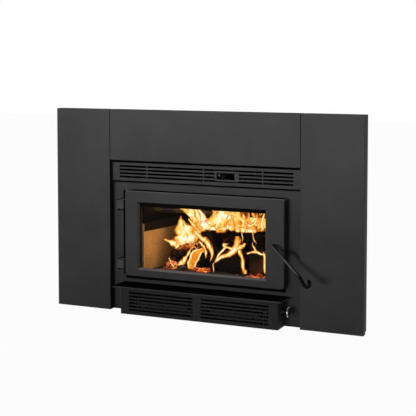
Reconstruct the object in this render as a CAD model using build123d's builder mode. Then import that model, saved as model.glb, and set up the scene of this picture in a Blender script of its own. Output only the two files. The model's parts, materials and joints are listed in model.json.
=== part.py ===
from build123d import *
import os
from math import cos, hypot, radians, sin, tan

os.makedirs("parts", exist_ok=True)

# A wood-burning fireplace insert: a steel firebox in a convection casing, a hinged
# glass door, a blower under the door and a three-piece surround.
# Millimetres. The origin is on the hearth, under the middle of the surround, in the
# plane of the wall. +X is right seen from the room, +Y into the fireplace, +Z up.

# ---------------------------------------------------------------- driving sizes
# surround
surround_width = 1219.0
surround_height = 762.0
surround_depth = 38.0
panel_sheet = 2.0
fold_radius = 2.6
opening_width = 758.0
seam_gap = 1.0
foot_notch_depth = 12.0
foot_notch_height = 10.0
top_panel_clearance = 1.0

# insert front plate
plate_overlap = 26.0
plate_rise = 30.0
plate_thickness = 6.0
plate_recess = 28.0
fire_opening_radius = 6.0
fire_opening_lap = 4.0
fire_opening_sill_lap = 2.0
air_outlet_margin = 52.5
air_outlet_sill = 8.0
air_outlet_head = 10.0
air_inlet_margin = 23.0
air_inlet_sill = 14.0
air_inlet_head = 12.0

# top grille and air control
grille_height = 78.0
grille_gap = 31.5
grille_depth = 10.0
grille_sheet = 1.5
grille_fold_radius = 2.2
grille_side_border = 29.0
grille_slot_height = 7.0
grille_slot_pitch = 13.2
grille_top_border = 22.0
grille_rows = 4
grille_outer_column = 118.0
mullion_width = 4.0
support_width = 3.0
support_outer_inset = 66.0
support_left_inset = 31.0
support_right_inset = 41.0
bezel_left = 46.0
bezel_rise = 16.5
bezel_width = 95.0
bezel_height = 37.0
bezel_margin = 7.0
bezel_head_margin = 6.0
bezel_screw_margin = 17.0
bezel_thickness = 2.5
bezel_corner_radius = 1.6
bezel_chamfer = 0.8
control_end_gap = 8.0
control_rise = 15.5
control_knob_radius = 5.0
control_knob_rounding = 1.6
control_stem_radius = 3.0
control_reach = 6.0

# firebox
firebox_side_land = 34.0
firebox_floor_gap = 4.0
firebox_head_gap = 8.0
firebox_depth = 394.0
firebox_wall = 5.0
side_taper = 12.0
flue_back_distance = 120.0
flue_bore_radius = 76.0
flue_wall = 4.0
flue_collar_height = 141.0
flue_flange_width = 15.0
flue_flange_thickness = 5.0
flue_hole_lip = 1.0
flue_bolt_inset = 7.0
flue_bolt_radius = 3.0

# refractory lining and baffle
brick_thickness = 32.0
brick_joint = 1.0
brick_width = 116.0
brick_front_gap = 4.0
brick_back_gap = 5.0
side_brick_count = 3
side_brick_drop = 64.0
back_brick_rise = 14.0
retainer_lap = 7.0
retainer_gap = 2.0
retainer_rise = 30.0
retainer_sheet = 3.0
rail_height = 35.0
rail_sheet = 4.0
channel_width = 30.0
channel_height = 32.0
channel_wall = 2.0
channel_front_gap = 4.0
channel_back_gap = 41.0
channel_drop = 9.0
tube_radius = 12.5
tube_wall = 2.0
tube_end_distance = 56.0
tube_spacing = 90.0
tube_count = 3
tube_hole_radius = 2.2
tube_hole_pitch = 24.0
tube_end_margin = 50.0
board_thickness = 16.0
board_front_gap = 95.0
board_back_gap = 5.0
manifold_side_margin = 60.0
manifold_depth = 44.0
manifold_height = 58.0
manifold_wall = 3.0
wash_slot_depth = 7.0

# the fire: burning logs on a bed of embers
ember_margin = 3.0
ember_depth = 14.0
ember_slope = 30.0
ember_heap_height = 34.0
ember_heap_radius = 42.0
ember_heap_across = -0.652
ember_heap_along = 0.176
log_bevel = 4.0
log_gap = 0.05
# from the top of the pile down: each end's share of the hearth's half width and of its
# depth, its rise above the bricks, and the log's radius
fire_log_sizes = (
    ((-0.588, 0.742, 121.0), (-0.459, 0.742, 213.0), 10.0),
    ((-0.468, 0.609, 138.0), (0.018, 0.198, 73.0), 17.0),
    ((-0.624, 0.13, 57.0), (-0.395, 0.609, 105.0), 34.0),
    ((0.918, 0.048, 51.0), (0.68, 0.538, 103.0), 36.0),
    ((-0.68, 0.799, 92.0), (0.808, 0.771, 98.0), 36.0),
    ((-0.574, 0.89, 36.0), (0.758, 0.89, 36.0), 34.0),
    ((-0.069, 0.555, 37.0), (0.781, 0.487, 37.0), 35.0),
    ((-0.211, 0.136, 23.0), (-0.211, 0.595, 25.0), 21.0),
    ((0.028, 0.164, 35.0), (0.67, 0.147, 35.0), 33.0),
)

# air shutter on the firebox top
shutter_front_gap = 8.0
shutter_depth = 40.0
shutter_left_end = 80.0
shutter_right_end = 35.0
shutter_sheet = 3.0
slide_clearance = 0.2
port_offset = 26.0
port_pitch = 90.0
port_count = 2
port_width = 28.0
port_depth = 24.0
guide_wall = 4.0
guide_lap = 4.0
guide_sheet = 2.0
guide_end = 8.0
control_arm_width = 12.0

# convection casing
side_air_gap = 36.0
rear_air_gap = 38.0
casing_head_drop = 37.0
casing_sheet = 2.0
casing_flange = 16.0
base_sheet = 2.0
collar_clearance = 3.0
support_inset = 2.0
support_sheet = 4.0
support_flange = 40.0
support_end_gap = 14.0

# door
door_rise = 28.5
door_height = 324.0
door_latch_inset = 55.0
door_hinge_gap = 23.0
door_gap = 4.0
door_thickness = 34.0
door_face = 8.0
door_rim = 6.0
door_corner_radius = 13.0
door_edge_radius = 5.0
glass_lap = 6.5
glass_head_lap = 4.5
glass_bevel = 7.2
glass_side_gap = 4.0
glass_head_gap = 3.0
glass_corner_radius = 5.0
glass_thickness = 5.0
glass_gasket_thickness = 2.5
glass_gasket_width = 4.0
gasket_width = 11.0
gasket_sill_margin = 24.5
gasket_head_margin = 38.5
gasket_thickness = 14.0
gasket_rounding = 4.0
gasket_channel_wall = 3.0
gasket_proud = 6.0
clip_width = 24.0
clip_sheet = 1.5
clip_reach = 8.0
clip_screw_radius = 1.75
clip_side_inset = 63.0
clip_row_inset = 127.0

# hinges
hinge_inset = 46.0
hinge_stand_off = 18.0
hinge_cover = 16.0
hinge_block_width = 32.0
hinge_block_height = 32.0
hinge_block_radius = 5.0
lower_hinge_rise = 27.5
upper_hinge_drop = 71.0
hinge_pin_radius = 6.0
running_clearance = 0.05
pin_tail = 6.0
pin_head_overlap = 2.5
pin_head_height = 3.0
lug_thickness = 5.0
lug_wall = 4.0
lug_gap = 0.3

# handle and latch
spindle_rise = 158.1
rod_radius = 6.35
rod_stand_off = 20.0
rod_bend_radius = 14.0
rod_heading = -35.5
rod_lean = 22.3
rod_straight = 146.0
sway_radius = 64.0
sway_angle = 12.25
neck_length = 31.0
curl_radius = 11.5
curl_angle = 198.0
bush_wall = 2.2
bush_flange = 1.5
bush_boss_wall = 2.5
bush_boss_length = 6.0
cam_gap = 1.5
cam_thickness = 6.0
cam_length = 23.5
cam_width = 10.0
cam_angle = 20.0
cam_hub_wall = 2.05
cam_tip_gap = 2.1
thread_depth = 1.85
thread_past_nut = 1.0
nut_across_flats = 14.0
nut_height = 6.0
catch_side_gap = 2.0
catch_sheet = 3.4
catch_lip_width = 17.0
catch_drop = 18.6
catch_height = 27.0
catch_reach = 23.0
catch_lip_sheet = 4.5
catch_clearance = 0.8

# ash shelf and blower
shelf_inset = 45.0
shelf_overhang = 28.0
shelf_thickness = 4.0
shelf_corner_radius = 4.0
shelf_edge_radius = 1.0
blower_inset = 66.0
blower_front = 80.0
blower_height = 104.0
blower_sheet = 2.0
blower_fold_radius = 3.0
blower_slot_inner = 16.0
blower_slot_margin = 35.0
blower_slot_height = 6.5
blower_slot_pitch = 12.8
blower_top_border = 22.3
blower_rows = 6
tray_clearance = 0.3
tray_sheet = 1.5
tray_height = 14.0
tray_slot_sill = 11.2
shaft_radius = 3.0
shaft_end_gap = 49.0
rotor_radius = 13.0
rotor_half_length = 13.0
stator_half_length = 14.0
stator_size = 54.0
stator_gap = 0.5
coil_floor_gap = 4.5
coil_half_length = 18.0
coil_depth = 34.0
shield_radius = 14.0
shield_length = 16.0
ear_sheet = 2.0
ear_depth = 34.0
bracket_foot_depth = 50.0
impeller_radius = 27.0
impeller_start = 42.0
impeller_end_gap = 8.0
blade_count = 22
blade_chord = 6.3
blade_inset = 3.5
blade_thickness = 0.9
blade_angle = 35.0
disc_thickness = 1.6
hub_wall = 4.0
hub_length = 12.0
bearing_inset = 12.0
bearing_sheet = 3.0
bearing_foot = 20.0
bearing_depth = 30.0
bush_radius = 6.0
bush_half_length = 6.0
fit_clearance = 0.2

# speed control
speed_drop = 44.0
speed_body_radius = 17.0
speed_body_length = 22.0
speed_neck_radius = 5.0
speed_neck_length = 7.0
speed_nut_flats = 13.0
speed_nut_height = 3.0
knob_gap = 1.0
knob_hub_radius = 8.5
knob_hub_length = 17.0
knob_disc_radius = 18.0
knob_disc_thickness = 5.0
knob_flute_radius = 1.1
knob_flute_count = 28
knob_socket_depth = 19.0
knob_pointer_length = 12.6
knob_pointer_width = 1.1
gland_offset = 5.0
gland_rise = 24.0
gland_wall = 3.5
gland_flange_width = 3.0
gland_flange = 2.5
gland_bore_radius = 3.5

# brackets and screws
lower_bracket_height = 140.0
upper_bracket_drop = 170.0
bracket_length = 40.0
bracket_foot = 22.0
bracket_leg = 20.0
bracket_screw_reach = 13.2
bracket_sheet = 2.0
top_bracket_inset = 139.0
screw_radius = 2.5
screw_head_overlap = 2.0
screw_head_height = 3.0
screw_clearance = 0.25
seam_bolt_rise = 49.0
seam_bolt_drop = 42.0
seam_bolt_radius = 3.0
seam_bolt_flats = 10.0
seam_bolt_head = 4.0
seam_bolt_inset = 14.0
casing_screw_inset = 32.0
casing_screw_count = 4
casing_screw_depth = 8.0

# ---------------------------------------------------------------- derived places
# depths
plate_front_y = plate_recess - surround_depth
plate_back_y = plate_front_y + plate_thickness
door_back_y = plate_front_y - door_gap
door_front_y = door_back_y - door_thickness
door_inner_y = door_front_y + door_face
gasket_floor_y = plate_front_y - gasket_thickness
channel_edge_y = plate_front_y - gasket_proud
glass_front_y = door_inner_y + glass_gasket_thickness
glass_back_y = glass_front_y + glass_thickness
grille_face_y = plate_front_y - grille_depth
blower_face_y = -blower_front
fan_y = (blower_face_y + plate_front_y) / 2
hinge_y = plate_front_y - hinge_stand_off
firebox_back_y = plate_back_y + firebox_depth
cavity_back_y = firebox_back_y - firebox_wall
flue_y = firebox_back_y - flue_back_distance
brick_front_y = plate_back_y + brick_front_gap
back_brick_y = cavity_back_y - brick_thickness
side_brick_back_y = back_brick_y - brick_back_gap
brick_length = (side_brick_back_y - brick_front_y) / side_brick_count
channel_front_y = brick_front_y + channel_front_gap
channel_back_y = cavity_back_y - channel_back_gap
tube_first_y = channel_front_y + tube_end_distance
board_front_y = brick_front_y + board_front_gap
board_back_y = cavity_back_y - board_back_gap
casing_back_y = firebox_back_y + rear_air_gap + casing_sheet
shutter_front_y = plate_back_y + shutter_front_gap
shutter_back_y = shutter_front_y + shutter_depth

# heights
firebox_bottom = blower_height + shelf_thickness + firebox_floor_gap
door_bottom = blower_height + shelf_thickness + door_rise
door_top = door_bottom + door_height
grille_bottom = door_top + grille_gap
grille_top = grille_bottom + grille_height
top_panel_bottom = grille_top + seam_gap
plate_height = grille_top + plate_rise
firebox_top = grille_bottom - firebox_head_gap
casing_top = plate_height - casing_head_drop
gasket_inner_bottom = door_bottom + gasket_sill_margin
gasket_inner_top = door_top - gasket_head_margin
fire_opening_bottom = gasket_inner_bottom + fire_opening_sill_lap
fire_opening_top = gasket_inner_top - fire_opening_lap
glass_bottom = gasket_inner_bottom + gasket_channel_wall + glass_head_gap
glass_top = gasket_inner_top - gasket_channel_wall - glass_head_gap
glass_view_bottom = glass_bottom + glass_head_lap
glass_view_top = glass_top - glass_head_lap
bezel_bottom = grille_bottom + bezel_rise
bezel_top = bezel_bottom + bezel_height
window_bottom = bezel_bottom + bezel_margin
window_top = bezel_top - bezel_head_margin
window_z = (window_bottom + window_top) / 2
control_z = window_bottom + control_rise
floor_top = firebox_bottom + firebox_wall
lining_floor = floor_top + brick_thickness
cavity_top = firebox_top - firebox_wall
manifold_bottom = cavity_top - manifold_height
channel_bottom = manifold_bottom - channel_drop - board_thickness - channel_height
side_brick_top = channel_bottom - side_brick_drop
hinge_block_bottoms = (door_bottom + lower_hinge_rise, door_top - upper_hinge_drop)
spindle_z = door_bottom + spindle_rise
fan_z = blower_height / 2
speed_z = blower_height - speed_drop
bracket_heights = (lower_bracket_height, plate_height - upper_bracket_drop)
seam_bolt_heights = (top_panel_bottom + seam_bolt_rise, surround_height - seam_bolt_drop)

# widths
top_bracket_x = opening_width / 2 - top_bracket_inset
taper_slope = tan(radians(side_taper))
taper_stretch = 1 / cos(radians(side_taper))
side_panel_width = (surround_width - opening_width) / 2
return_inner_x = opening_width / 2 + panel_sheet
plate_width = opening_width + 2 * plate_overlap
grille_width = opening_width - 2 * seam_gap
grille_slot_end = grille_width / 2 - grille_side_border
grille_side_mullion = grille_slot_end - grille_outer_column
support_positions = (
    support_outer_inset - grille_slot_end,
    support_left_inset - grille_side_mullion,
    grille_side_mullion - support_right_inset,
    grille_slot_end - support_outer_inset,
)
bezel_right = bezel_left + bezel_width
window_left = bezel_left + bezel_margin
window_right = bezel_right - bezel_screw_margin
control_x = window_left + control_knob_radius + control_end_gap
control_travel = window_right - control_knob_radius - control_end_gap - control_x
port_first_x = control_x - port_offset
shutter_left = port_first_x - shutter_left_end
shutter_right = port_first_x + (port_count - 1) * port_pitch + shutter_right_end
hinge_x = hinge_inset - opening_width / 2
door_left = hinge_x + door_hinge_gap
door_right = opening_width / 2 - door_latch_inset
cam_hub_radius = rod_radius + cam_hub_wall
cam_reach = hypot(cam_length, cam_width / 2)
catch_right = door_right - door_rim - catch_side_gap
catch_leg_left = catch_right - catch_sheet
spindle_x = catch_leg_left - cam_tip_gap - cam_reach
gasket_outer_half = spindle_x - cam_hub_radius - running_clearance - gasket_channel_wall
gasket_inner_half = gasket_outer_half - gasket_width
gasket_outer_bottom = gasket_inner_bottom - gasket_width
gasket_outer_top = gasket_inner_top + gasket_width
fire_opening_half = gasket_inner_half - fire_opening_lap
glass_half = gasket_inner_half - gasket_channel_wall - glass_side_gap
glass_view_half = glass_half - glass_lap
firebox_front_half = fire_opening_half + firebox_side_land
firebox_back_half = firebox_front_half - firebox_depth * taper_slope
casing_front_half = firebox_front_half + side_air_gap + casing_sheet
support_web_x = firebox_back_half - support_inset - support_flange
manifold_half_width = fire_opening_half - manifold_side_margin
shelf_half_width = opening_width / 2 - shelf_inset
blower_half_width = opening_width / 2 - blower_inset
wall_x = blower_half_width - blower_sheet
shaft_half_length = wall_x - shaft_end_gap
bearing_x = shaft_half_length - bearing_inset
impeller_length = bearing_x - impeller_end_gap - impeller_start


def front_plane(y):
    """Sketch plane facing the room at depth y; a positive extrude comes forward."""
    return Plane.XZ.offset(-y)


def side_plane(x, y=0.0, z=0.0):
    """Sketch plane facing +X with its origin at (x, y, z)."""
    return Plane(origin=(x, y, z), x_dir=(0, 1, 0), z_dir=(1, 0, 0))


def spanned(low, high):
    """Centre and length of the span from low to high."""
    return (low + high) / 2, high - low


def rectangle_between(left, right, bottom, top, mode=Mode.ADD):
    """Rectangle in the current sketch between four edges."""
    middle_x, width = spanned(left, right)
    middle_y, height = spanned(bottom, top)
    with Locations((middle_x, middle_y)):
        Rectangle(width, height, mode=mode)


def rounded_between(left, right, bottom, top, radius, mode=Mode.ADD):
    """Round-cornered rectangle in the current sketch between four edges."""
    middle_x, width = spanned(left, right)
    middle_y, height = spanned(bottom, top)
    with Locations((middle_x, middle_y)):
        RectangleRounded(width, height, radius, mode=mode)


def wall_inner_x(y):
    """Half width of the firebox cavity at depth y."""
    outside = firebox_front_half - (y - plate_back_y) * taper_slope
    return outside - firebox_wall * taper_stretch


def casing_half(y):
    """Outside half width of the convection casing at depth y."""
    return casing_front_half - (y - plate_back_y) * taper_slope


def tapered_outline(front_half, front_y, back_y):
    """Plan outline that narrows towards the back at the firebox's taper."""
    back_half = front_half - (back_y - front_y) * taper_slope
    Polygon(
        (-front_half, front_y),
        (front_half, front_y),
        (back_half, back_y),
        (-back_half, back_y),
        align=None,
    )


def wall_strip(sign, offset, thickness, front_y, back_y, mode=Mode.ADD):
    """Plan strip that follows the tapered cavity wall at an offset from it."""
    near = offset * taper_stretch
    far = (offset + thickness) * taper_stretch
    Polygon(
        (sign * (wall_inner_x(front_y) - near), front_y),
        (sign * (wall_inner_x(back_y) - near), back_y),
        (sign * (wall_inner_x(back_y) - far), back_y),
        (sign * (wall_inner_x(front_y) - far), front_y),
        align=None,
        mode=mode,
    )


# ---------------------------------------------------------------- surround
for side, sign in (("left", -1), ("right", 1)):
    panel_x = sign * (opening_width + side_panel_width) / 2
    with BuildPart() as side_panel:
        with BuildSketch(front_plane(0)):
            with Locations((panel_x, surround_height / 2)):
                Rectangle(side_panel_width, surround_height)
        extrude(amount=surround_depth)
        face = side_panel.faces().sort_by(Axis.Y)[0]
        fillet(face.edges().sort_by(Axis.Z)[1:], fold_radius)
        back = side_panel.faces().sort_by(Axis.Y)[-1]
        bottom = side_panel.faces().sort_by(Axis.Z)[0]
        offset(amount=-panel_sheet, openings=[back, bottom])
        # the inner return stops on the insert's plate
        with BuildSketch(front_plane(0)):
            with Locations((sign * opening_width / 2, surround_height / 2)):
                Rectangle(bracket_foot, surround_height)
        extrude(amount=-plate_front_y, mode=Mode.SUBTRACT)
        # small notch at the foot of the outer return
        with BuildSketch(side_plane(0)):
            rectangle_between(-foot_notch_depth, 0, 0, foot_notch_height)
        extrude(amount=sign * surround_width, mode=Mode.SUBTRACT)
        # seam bolt holes in the inner return
        with BuildSketch(side_plane(0)):
            for height in seam_bolt_heights:
                with Locations((plate_front_y - seam_bolt_inset, height)):
                    Circle(seam_bolt_radius + screw_clearance)
        extrude(amount=sign * (return_inner_x + fold_radius), mode=Mode.SUBTRACT)
    side_panel.part.label = f"surround_{side}_panel"
    export_step(side_panel.part, f"parts/surround_{side}_panel.step")

top_panel_half = opening_width / 2 - seam_gap
with BuildPart() as surround_top_panel:
    with BuildSketch(front_plane(0)):
        rectangle_between(-top_panel_half, top_panel_half, top_panel_bottom, surround_height)
    extrude(amount=surround_depth)
    face = surround_top_panel.faces().sort_by(Axis.Y)[0]
    fillet(face.edges(), fold_radius)
    back = surround_top_panel.faces().sort_by(Axis.Y)[-1]
    offset(amount=-panel_sheet, openings=back)
    # the returns stop on the insert's plate as far up as it reaches
    with BuildSketch(front_plane(0)):
        rectangle_between(-opening_width, opening_width, 0, plate_height + top_panel_clearance)
    extrude(amount=-plate_front_y, mode=Mode.SUBTRACT)
    with BuildSketch(side_plane(-top_panel_half)):
        for height in seam_bolt_heights:
            with Locations((plate_front_y - seam_bolt_inset, height)):
                Circle(seam_bolt_radius + screw_clearance)
    extrude(amount=2 * top_panel_half, mode=Mode.SUBTRACT)
surround_top_panel.part.label = "surround_top_panel"
export_step(surround_top_panel.part, "parts/surround_top_panel.step")

# angle brackets that carry the surround on the plate
top_shelf_z = top_panel_bottom + panel_sheet
with BuildPart() as surround_brackets:
    for height in bracket_heights:
        with BuildSketch(Plane.XY.offset(height - bracket_length / 2)):
            for sign in (-1, 1):
                leg = sorted((sign * return_inner_x, sign * (return_inner_x + bracket_sheet)))
                foot = sorted((sign * return_inner_x, sign * (return_inner_x + bracket_foot)))
                rectangle_between(leg[0], leg[1], plate_front_y - bracket_leg, plate_front_y)
                rectangle_between(foot[0], foot[1], plate_front_y - bracket_sheet, plate_front_y)
        extrude(amount=bracket_length)
    for sign in (-1, 1):
        with BuildSketch(side_plane(sign * top_bracket_x - bracket_length / 2)):
            rectangle_between(
                plate_front_y - bracket_leg, plate_front_y, top_shelf_z, top_shelf_z + bracket_sheet
            )
            rectangle_between(
                plate_front_y - bracket_sheet, plate_front_y, top_shelf_z, top_shelf_z + bracket_foot
            )
        extrude(amount=bracket_length)
    bracket_screw_places = [
        (sign * (return_inner_x + bracket_screw_reach), height)
        for sign in (-1, 1)
        for height in bracket_heights
    ] + [(sign * top_bracket_x, top_shelf_z + bracket_screw_reach) for sign in (-1, 1)]
    with BuildSketch(front_plane(plate_front_y)):
        with Locations(*bracket_screw_places):
            Circle(screw_radius + screw_clearance)
    extrude(amount=bracket_sheet, mode=Mode.SUBTRACT)
surround_brackets.part.label = "surround_brackets"
export_step(surround_brackets.part, "parts/surround_brackets.step")

bezel_face_y = grille_face_y - bezel_thickness
bezel_screw_place = ((window_right + bezel_right) / 2, window_z)
with BuildPart() as pan_screws:
    with BuildSketch(front_plane(plate_front_y - bracket_sheet)):
        with Locations(*bracket_screw_places):
            Circle(screw_radius + screw_head_overlap)
    extrude(amount=screw_head_height)
    with BuildSketch(front_plane(plate_front_y - bracket_sheet)):
        with Locations(*bracket_screw_places):
            Circle(screw_radius)
    extrude(amount=-(bracket_sheet + plate_thickness + screw_radius))
    with BuildSketch(front_plane(bezel_face_y)):
        with Locations(bezel_screw_place):
            Circle(screw_radius + screw_head_overlap)
    extrude(amount=screw_head_height / 2)
    with BuildSketch(front_plane(bezel_face_y)):
        with Locations(bezel_screw_place):
            Circle(screw_radius)
    extrude(amount=-(bezel_thickness + grille_sheet + screw_radius))
pan_screws.part.label = "pan_screws"
export_step(pan_screws.part, "parts/pan_screws.step")

with BuildPart() as seam_bolts:
    for sign in (-1, 1):
        head_x = opening_width / 2 - seam_gap - panel_sheet
        nut_x = return_inner_x
        for height in seam_bolt_heights:
            bolt_y = plate_front_y - seam_bolt_inset
            with BuildSketch(side_plane(sign * head_x, bolt_y, height)):
                RegularPolygon(seam_bolt_flats / 2, 6, major_radius=False)
            extrude(amount=-sign * seam_bolt_head)
            with BuildSketch(side_plane(sign * nut_x, bolt_y, height)):
                RegularPolygon(seam_bolt_flats / 2, 6, major_radius=False)
            extrude(amount=sign * seam_bolt_head)
            with BuildSketch(side_plane(sign * head_x, bolt_y, height)):
                Circle(seam_bolt_radius)
            extrude(amount=sign * (nut_x - head_x + seam_bolt_head + seam_bolt_radius))
seam_bolts.part.label = "seam_bolts"
export_step(seam_bolts.part, "parts/seam_bolts.step")

# ---------------------------------------------------------------- front plate and grille
with BuildPart() as front_plate:
    with BuildSketch(front_plane(plate_back_y)):
        rectangle_between(-plate_width / 2, plate_width / 2, 0, plate_height)
        rounded_between(
            -fire_opening_half, fire_opening_half,
            fire_opening_bottom, fire_opening_top, fire_opening_radius, mode=Mode.SUBTRACT,
        )
        outlet_half = grille_width / 2 - air_outlet_margin
        rectangle_between(
            -outlet_half, outlet_half,
            grille_bottom + air_outlet_sill, grille_top - air_outlet_head, mode=Mode.SUBTRACT,
        )
        inlet_half = blower_half_width - air_inlet_margin
        rectangle_between(
            -inlet_half, inlet_half,
            air_inlet_sill, blower_height - air_inlet_head, mode=Mode.SUBTRACT,
        )
        with Locations(*bracket_screw_places):
            Circle(screw_radius + screw_clearance, mode=Mode.SUBTRACT)
    extrude(amount=plate_thickness)
front_plate.part.label = "front_plate"
export_step(front_plate.part, "parts/front_plate.step")

column_edges = (-grille_slot_end, -grille_side_mullion, 0.0, grille_side_mullion, grille_slot_end)
with BuildPart() as top_grille:
    with BuildSketch(front_plane(plate_front_y)):
        rectangle_between(-grille_width / 2, grille_width / 2, grille_bottom, grille_top)
    extrude(amount=grille_depth)
    fillet(top_grille.faces().sort_by(Axis.Y)[0].edges(), grille_fold_radius)
    offset(amount=-grille_sheet, openings=top_grille.faces().sort_by(Axis.Y)[-1])
    with BuildSketch(front_plane(grille_face_y + grille_sheet)):
        for row in range(grille_rows):
            row_z = grille_top - grille_top_border - row * grille_slot_pitch
            for left, right in zip(column_edges[:-1], column_edges[1:]):
                rectangle_between(
                    left + mullion_width / 2, right - mullion_width / 2,
                    row_z - grille_slot_height / 2, row_z + grille_slot_height / 2,
                )
        rectangle_between(window_left, window_right, window_bottom, window_top)
        with Locations(bezel_screw_place):
            Circle(screw_radius + screw_clearance)
    extrude(amount=grille_sheet, mode=Mode.SUBTRACT)
top_grille.part.label = "top_grille"
export_step(top_grille.part, "parts/top_grille.step")

with BuildPart() as grille_supports:
    with BuildSketch(front_plane(plate_front_y)):
        for support_x in support_positions:
            rectangle_between(
                support_x - support_width / 2, support_x + support_width / 2,
                grille_bottom + grille_fold_radius, grille_top - grille_fold_radius,
            )
    extrude(amount=grille_depth - grille_sheet)
grille_supports.part.label = "grille_supports"
export_step(grille_supports.part, "parts/grille_supports.step")

with BuildPart() as control_bezel:
    with BuildSketch(front_plane(grille_face_y)):
        rounded_between(bezel_left, bezel_right, bezel_bottom, bezel_top, bezel_corner_radius)
        rectangle_between(
            window_left, window_right, window_bottom, window_top, mode=Mode.SUBTRACT
        )
        with Locations(bezel_screw_place):
            Circle(screw_radius + screw_clearance, mode=Mode.SUBTRACT)
    extrude(amount=bezel_thickness)
    chamfer(control_bezel.faces().sort_by(Axis.Y)[0].outer_wire().edges(), bezel_chamfer)
control_bezel.part.label = "control_bezel"
export_step(control_bezel.part, "parts/control_bezel.step")

# ---------------------------------------------------------------- firebox
port_places = [
    (port_first_x + index * port_pitch, (shutter_front_y + shutter_back_y) / 2)
    for index in range(port_count)
]
flue_flange_radius = flue_bore_radius + flue_wall + flue_flange_width
flue_bolt_circle_radius = flue_flange_radius - flue_bolt_inset
flue_bolt_places = [
    (
        flue_bolt_circle_radius * cos(radians(45 + 90 * index)),
        flue_y + flue_bolt_circle_radius * sin(radians(45 + 90 * index)),
    )
    for index in range(4)
]
with BuildPart() as firebox_body:
    with BuildSketch(Plane.XY.offset(firebox_bottom)):
        tapered_outline(firebox_front_half, plate_back_y, firebox_back_y)
    extrude(amount=firebox_top - firebox_bottom)
    offset(amount=-firebox_wall, openings=firebox_body.faces().sort_by(Axis.Y)[0])
    with BuildSketch(Plane.XY.offset(cavity_top)):
        with Locations((0, flue_y)):
            Circle(flue_bore_radius - flue_hole_lip)
        with Locations(*port_places):
            Rectangle(port_width, port_depth)
        with Locations(*flue_bolt_places):
            Circle(flue_bolt_radius + screw_clearance)
    extrude(amount=firebox_wall, mode=Mode.SUBTRACT)
firebox_body.part.label = "firebox_body"
export_step(firebox_body.part, "parts/firebox_body.step")

with BuildPart() as flue_collar:
    with BuildSketch(Plane.XY.offset(firebox_top)):
        with Locations((0, flue_y)):
            Circle(flue_flange_radius)
            Circle(flue_bore_radius, mode=Mode.SUBTRACT)
        with Locations(*flue_bolt_places):
            Circle(flue_bolt_radius + screw_clearance, mode=Mode.SUBTRACT)
    extrude(amount=flue_flange_thickness)
    with BuildSketch(Plane.XY.offset(firebox_top)):
        with Locations((0, flue_y)):
            Circle(flue_bore_radius + flue_wall)
            Circle(flue_bore_radius, mode=Mode.SUBTRACT)
    extrude(amount=flue_collar_height)
flue_collar.part.label = "flue_collar"
export_step(flue_collar.part, "parts/flue_collar.step")

with BuildPart() as flue_bolts:
    with BuildSketch(Plane.XY.offset(firebox_top + flue_flange_thickness)):
        with Locations(*flue_bolt_places):
            RegularPolygon(seam_bolt_flats / 2, 6, major_radius=False)
    extrude(amount=seam_bolt_head)
    with BuildSketch(Plane.XY.offset(firebox_top + flue_flange_thickness)):
        with Locations(*flue_bolt_places):
            Circle(flue_bolt_radius)
    extrude(amount=-(flue_flange_thickness + firebox_wall + flue_bolt_radius))
flue_bolts.part.label = "flue_bolts"
export_step(flue_bolts.part, "parts/flue_bolts.step")

# ---------------------------------------------------------------- lining
with BuildPart() as floor_bricks:
    with BuildSketch(Plane.XY.offset(floor_top)):
        floor_half = wall_inner_x(brick_front_y) - brick_joint
        tapered_outline(floor_half, brick_front_y, cavity_back_y)
        with GridLocations(brick_width, 0, 4, 1):
            with Locations((0, (brick_front_y + cavity_back_y) / 2)):
                Rectangle(brick_joint, firebox_depth, mode=Mode.SUBTRACT)
        with Locations((0, (brick_front_y + cavity_back_y) / 2)):
            Rectangle(2 * floor_half, brick_joint, mode=Mode.SUBTRACT)
    extrude(amount=brick_thickness)
floor_bricks.part.label = "floor_bricks"
export_step(floor_bricks.part, "parts/floor_bricks.step")

for side, sign in (("left", -1), ("right", 1)):
    with BuildPart() as side_bricks:
        with BuildSketch(Plane.XY.offset(lining_floor)):
            wall_strip(sign, 0, brick_thickness, brick_front_y, side_brick_back_y)
            for index in range(1, side_brick_count):
                joint_y = brick_front_y + index * brick_length
                with Locations((sign * wall_inner_x(joint_y), joint_y)):
                    Rectangle(4 * brick_thickness, brick_joint, mode=Mode.SUBTRACT)
        extrude(amount=side_brick_top - lining_floor)
    side_bricks.part.label = f"{side}_bricks"
    export_step(side_bricks.part, f"parts/{side}_bricks.step")

with BuildPart() as back_bricks:
    with BuildSketch(Plane.XY.offset(lining_floor)):
        back_brick_half = wall_inner_x(cavity_back_y)
        rectangle_between(-back_brick_half, back_brick_half, back_brick_y, cavity_back_y)
        with GridLocations(brick_width, 0, 4, 1):
            with Locations((0, cavity_back_y)):
                Rectangle(brick_joint, 4 * brick_thickness, mode=Mode.SUBTRACT)
    extrude(amount=channel_bottom + back_brick_rise - lining_floor)
back_bricks.part.label = "back_bricks"
export_step(back_bricks.part, "parts/back_bricks.step")

with BuildPart() as brick_retainers:
    with BuildSketch(Plane.XY.offset(floor_top)):
        for sign in (-1, 1):
            retainer_outer = wall_inner_x(plate_back_y) - retainer_gap
            edges = sorted((sign * (fire_opening_half - retainer_lap), sign * retainer_outer))
            rectangle_between(edges[0], edges[1], plate_back_y, plate_back_y + retainer_sheet)
    extrude(amount=side_brick_top + retainer_rise - floor_top)
brick_retainers.part.label = "brick_retainers"
export_step(brick_retainers.part, "parts/brick_retainers.step")

with BuildPart() as brick_rails:
    with BuildSketch(Plane.XY.offset(side_brick_top)):
        for sign in (-1, 1):
            wall_strip(sign, 0, brick_thickness, brick_front_y, side_brick_back_y)
    extrude(amount=rail_sheet)
    with BuildSketch(Plane.XY.offset(side_brick_top)):
        for sign in (-1, 1):
            wall_strip(
                sign, brick_thickness - rail_sheet, rail_sheet, brick_front_y, side_brick_back_y
            )
    extrude(amount=rail_height)
brick_rails.part.label = "brick_rails"
export_step(brick_rails.part, "parts/brick_rails.step")

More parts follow.
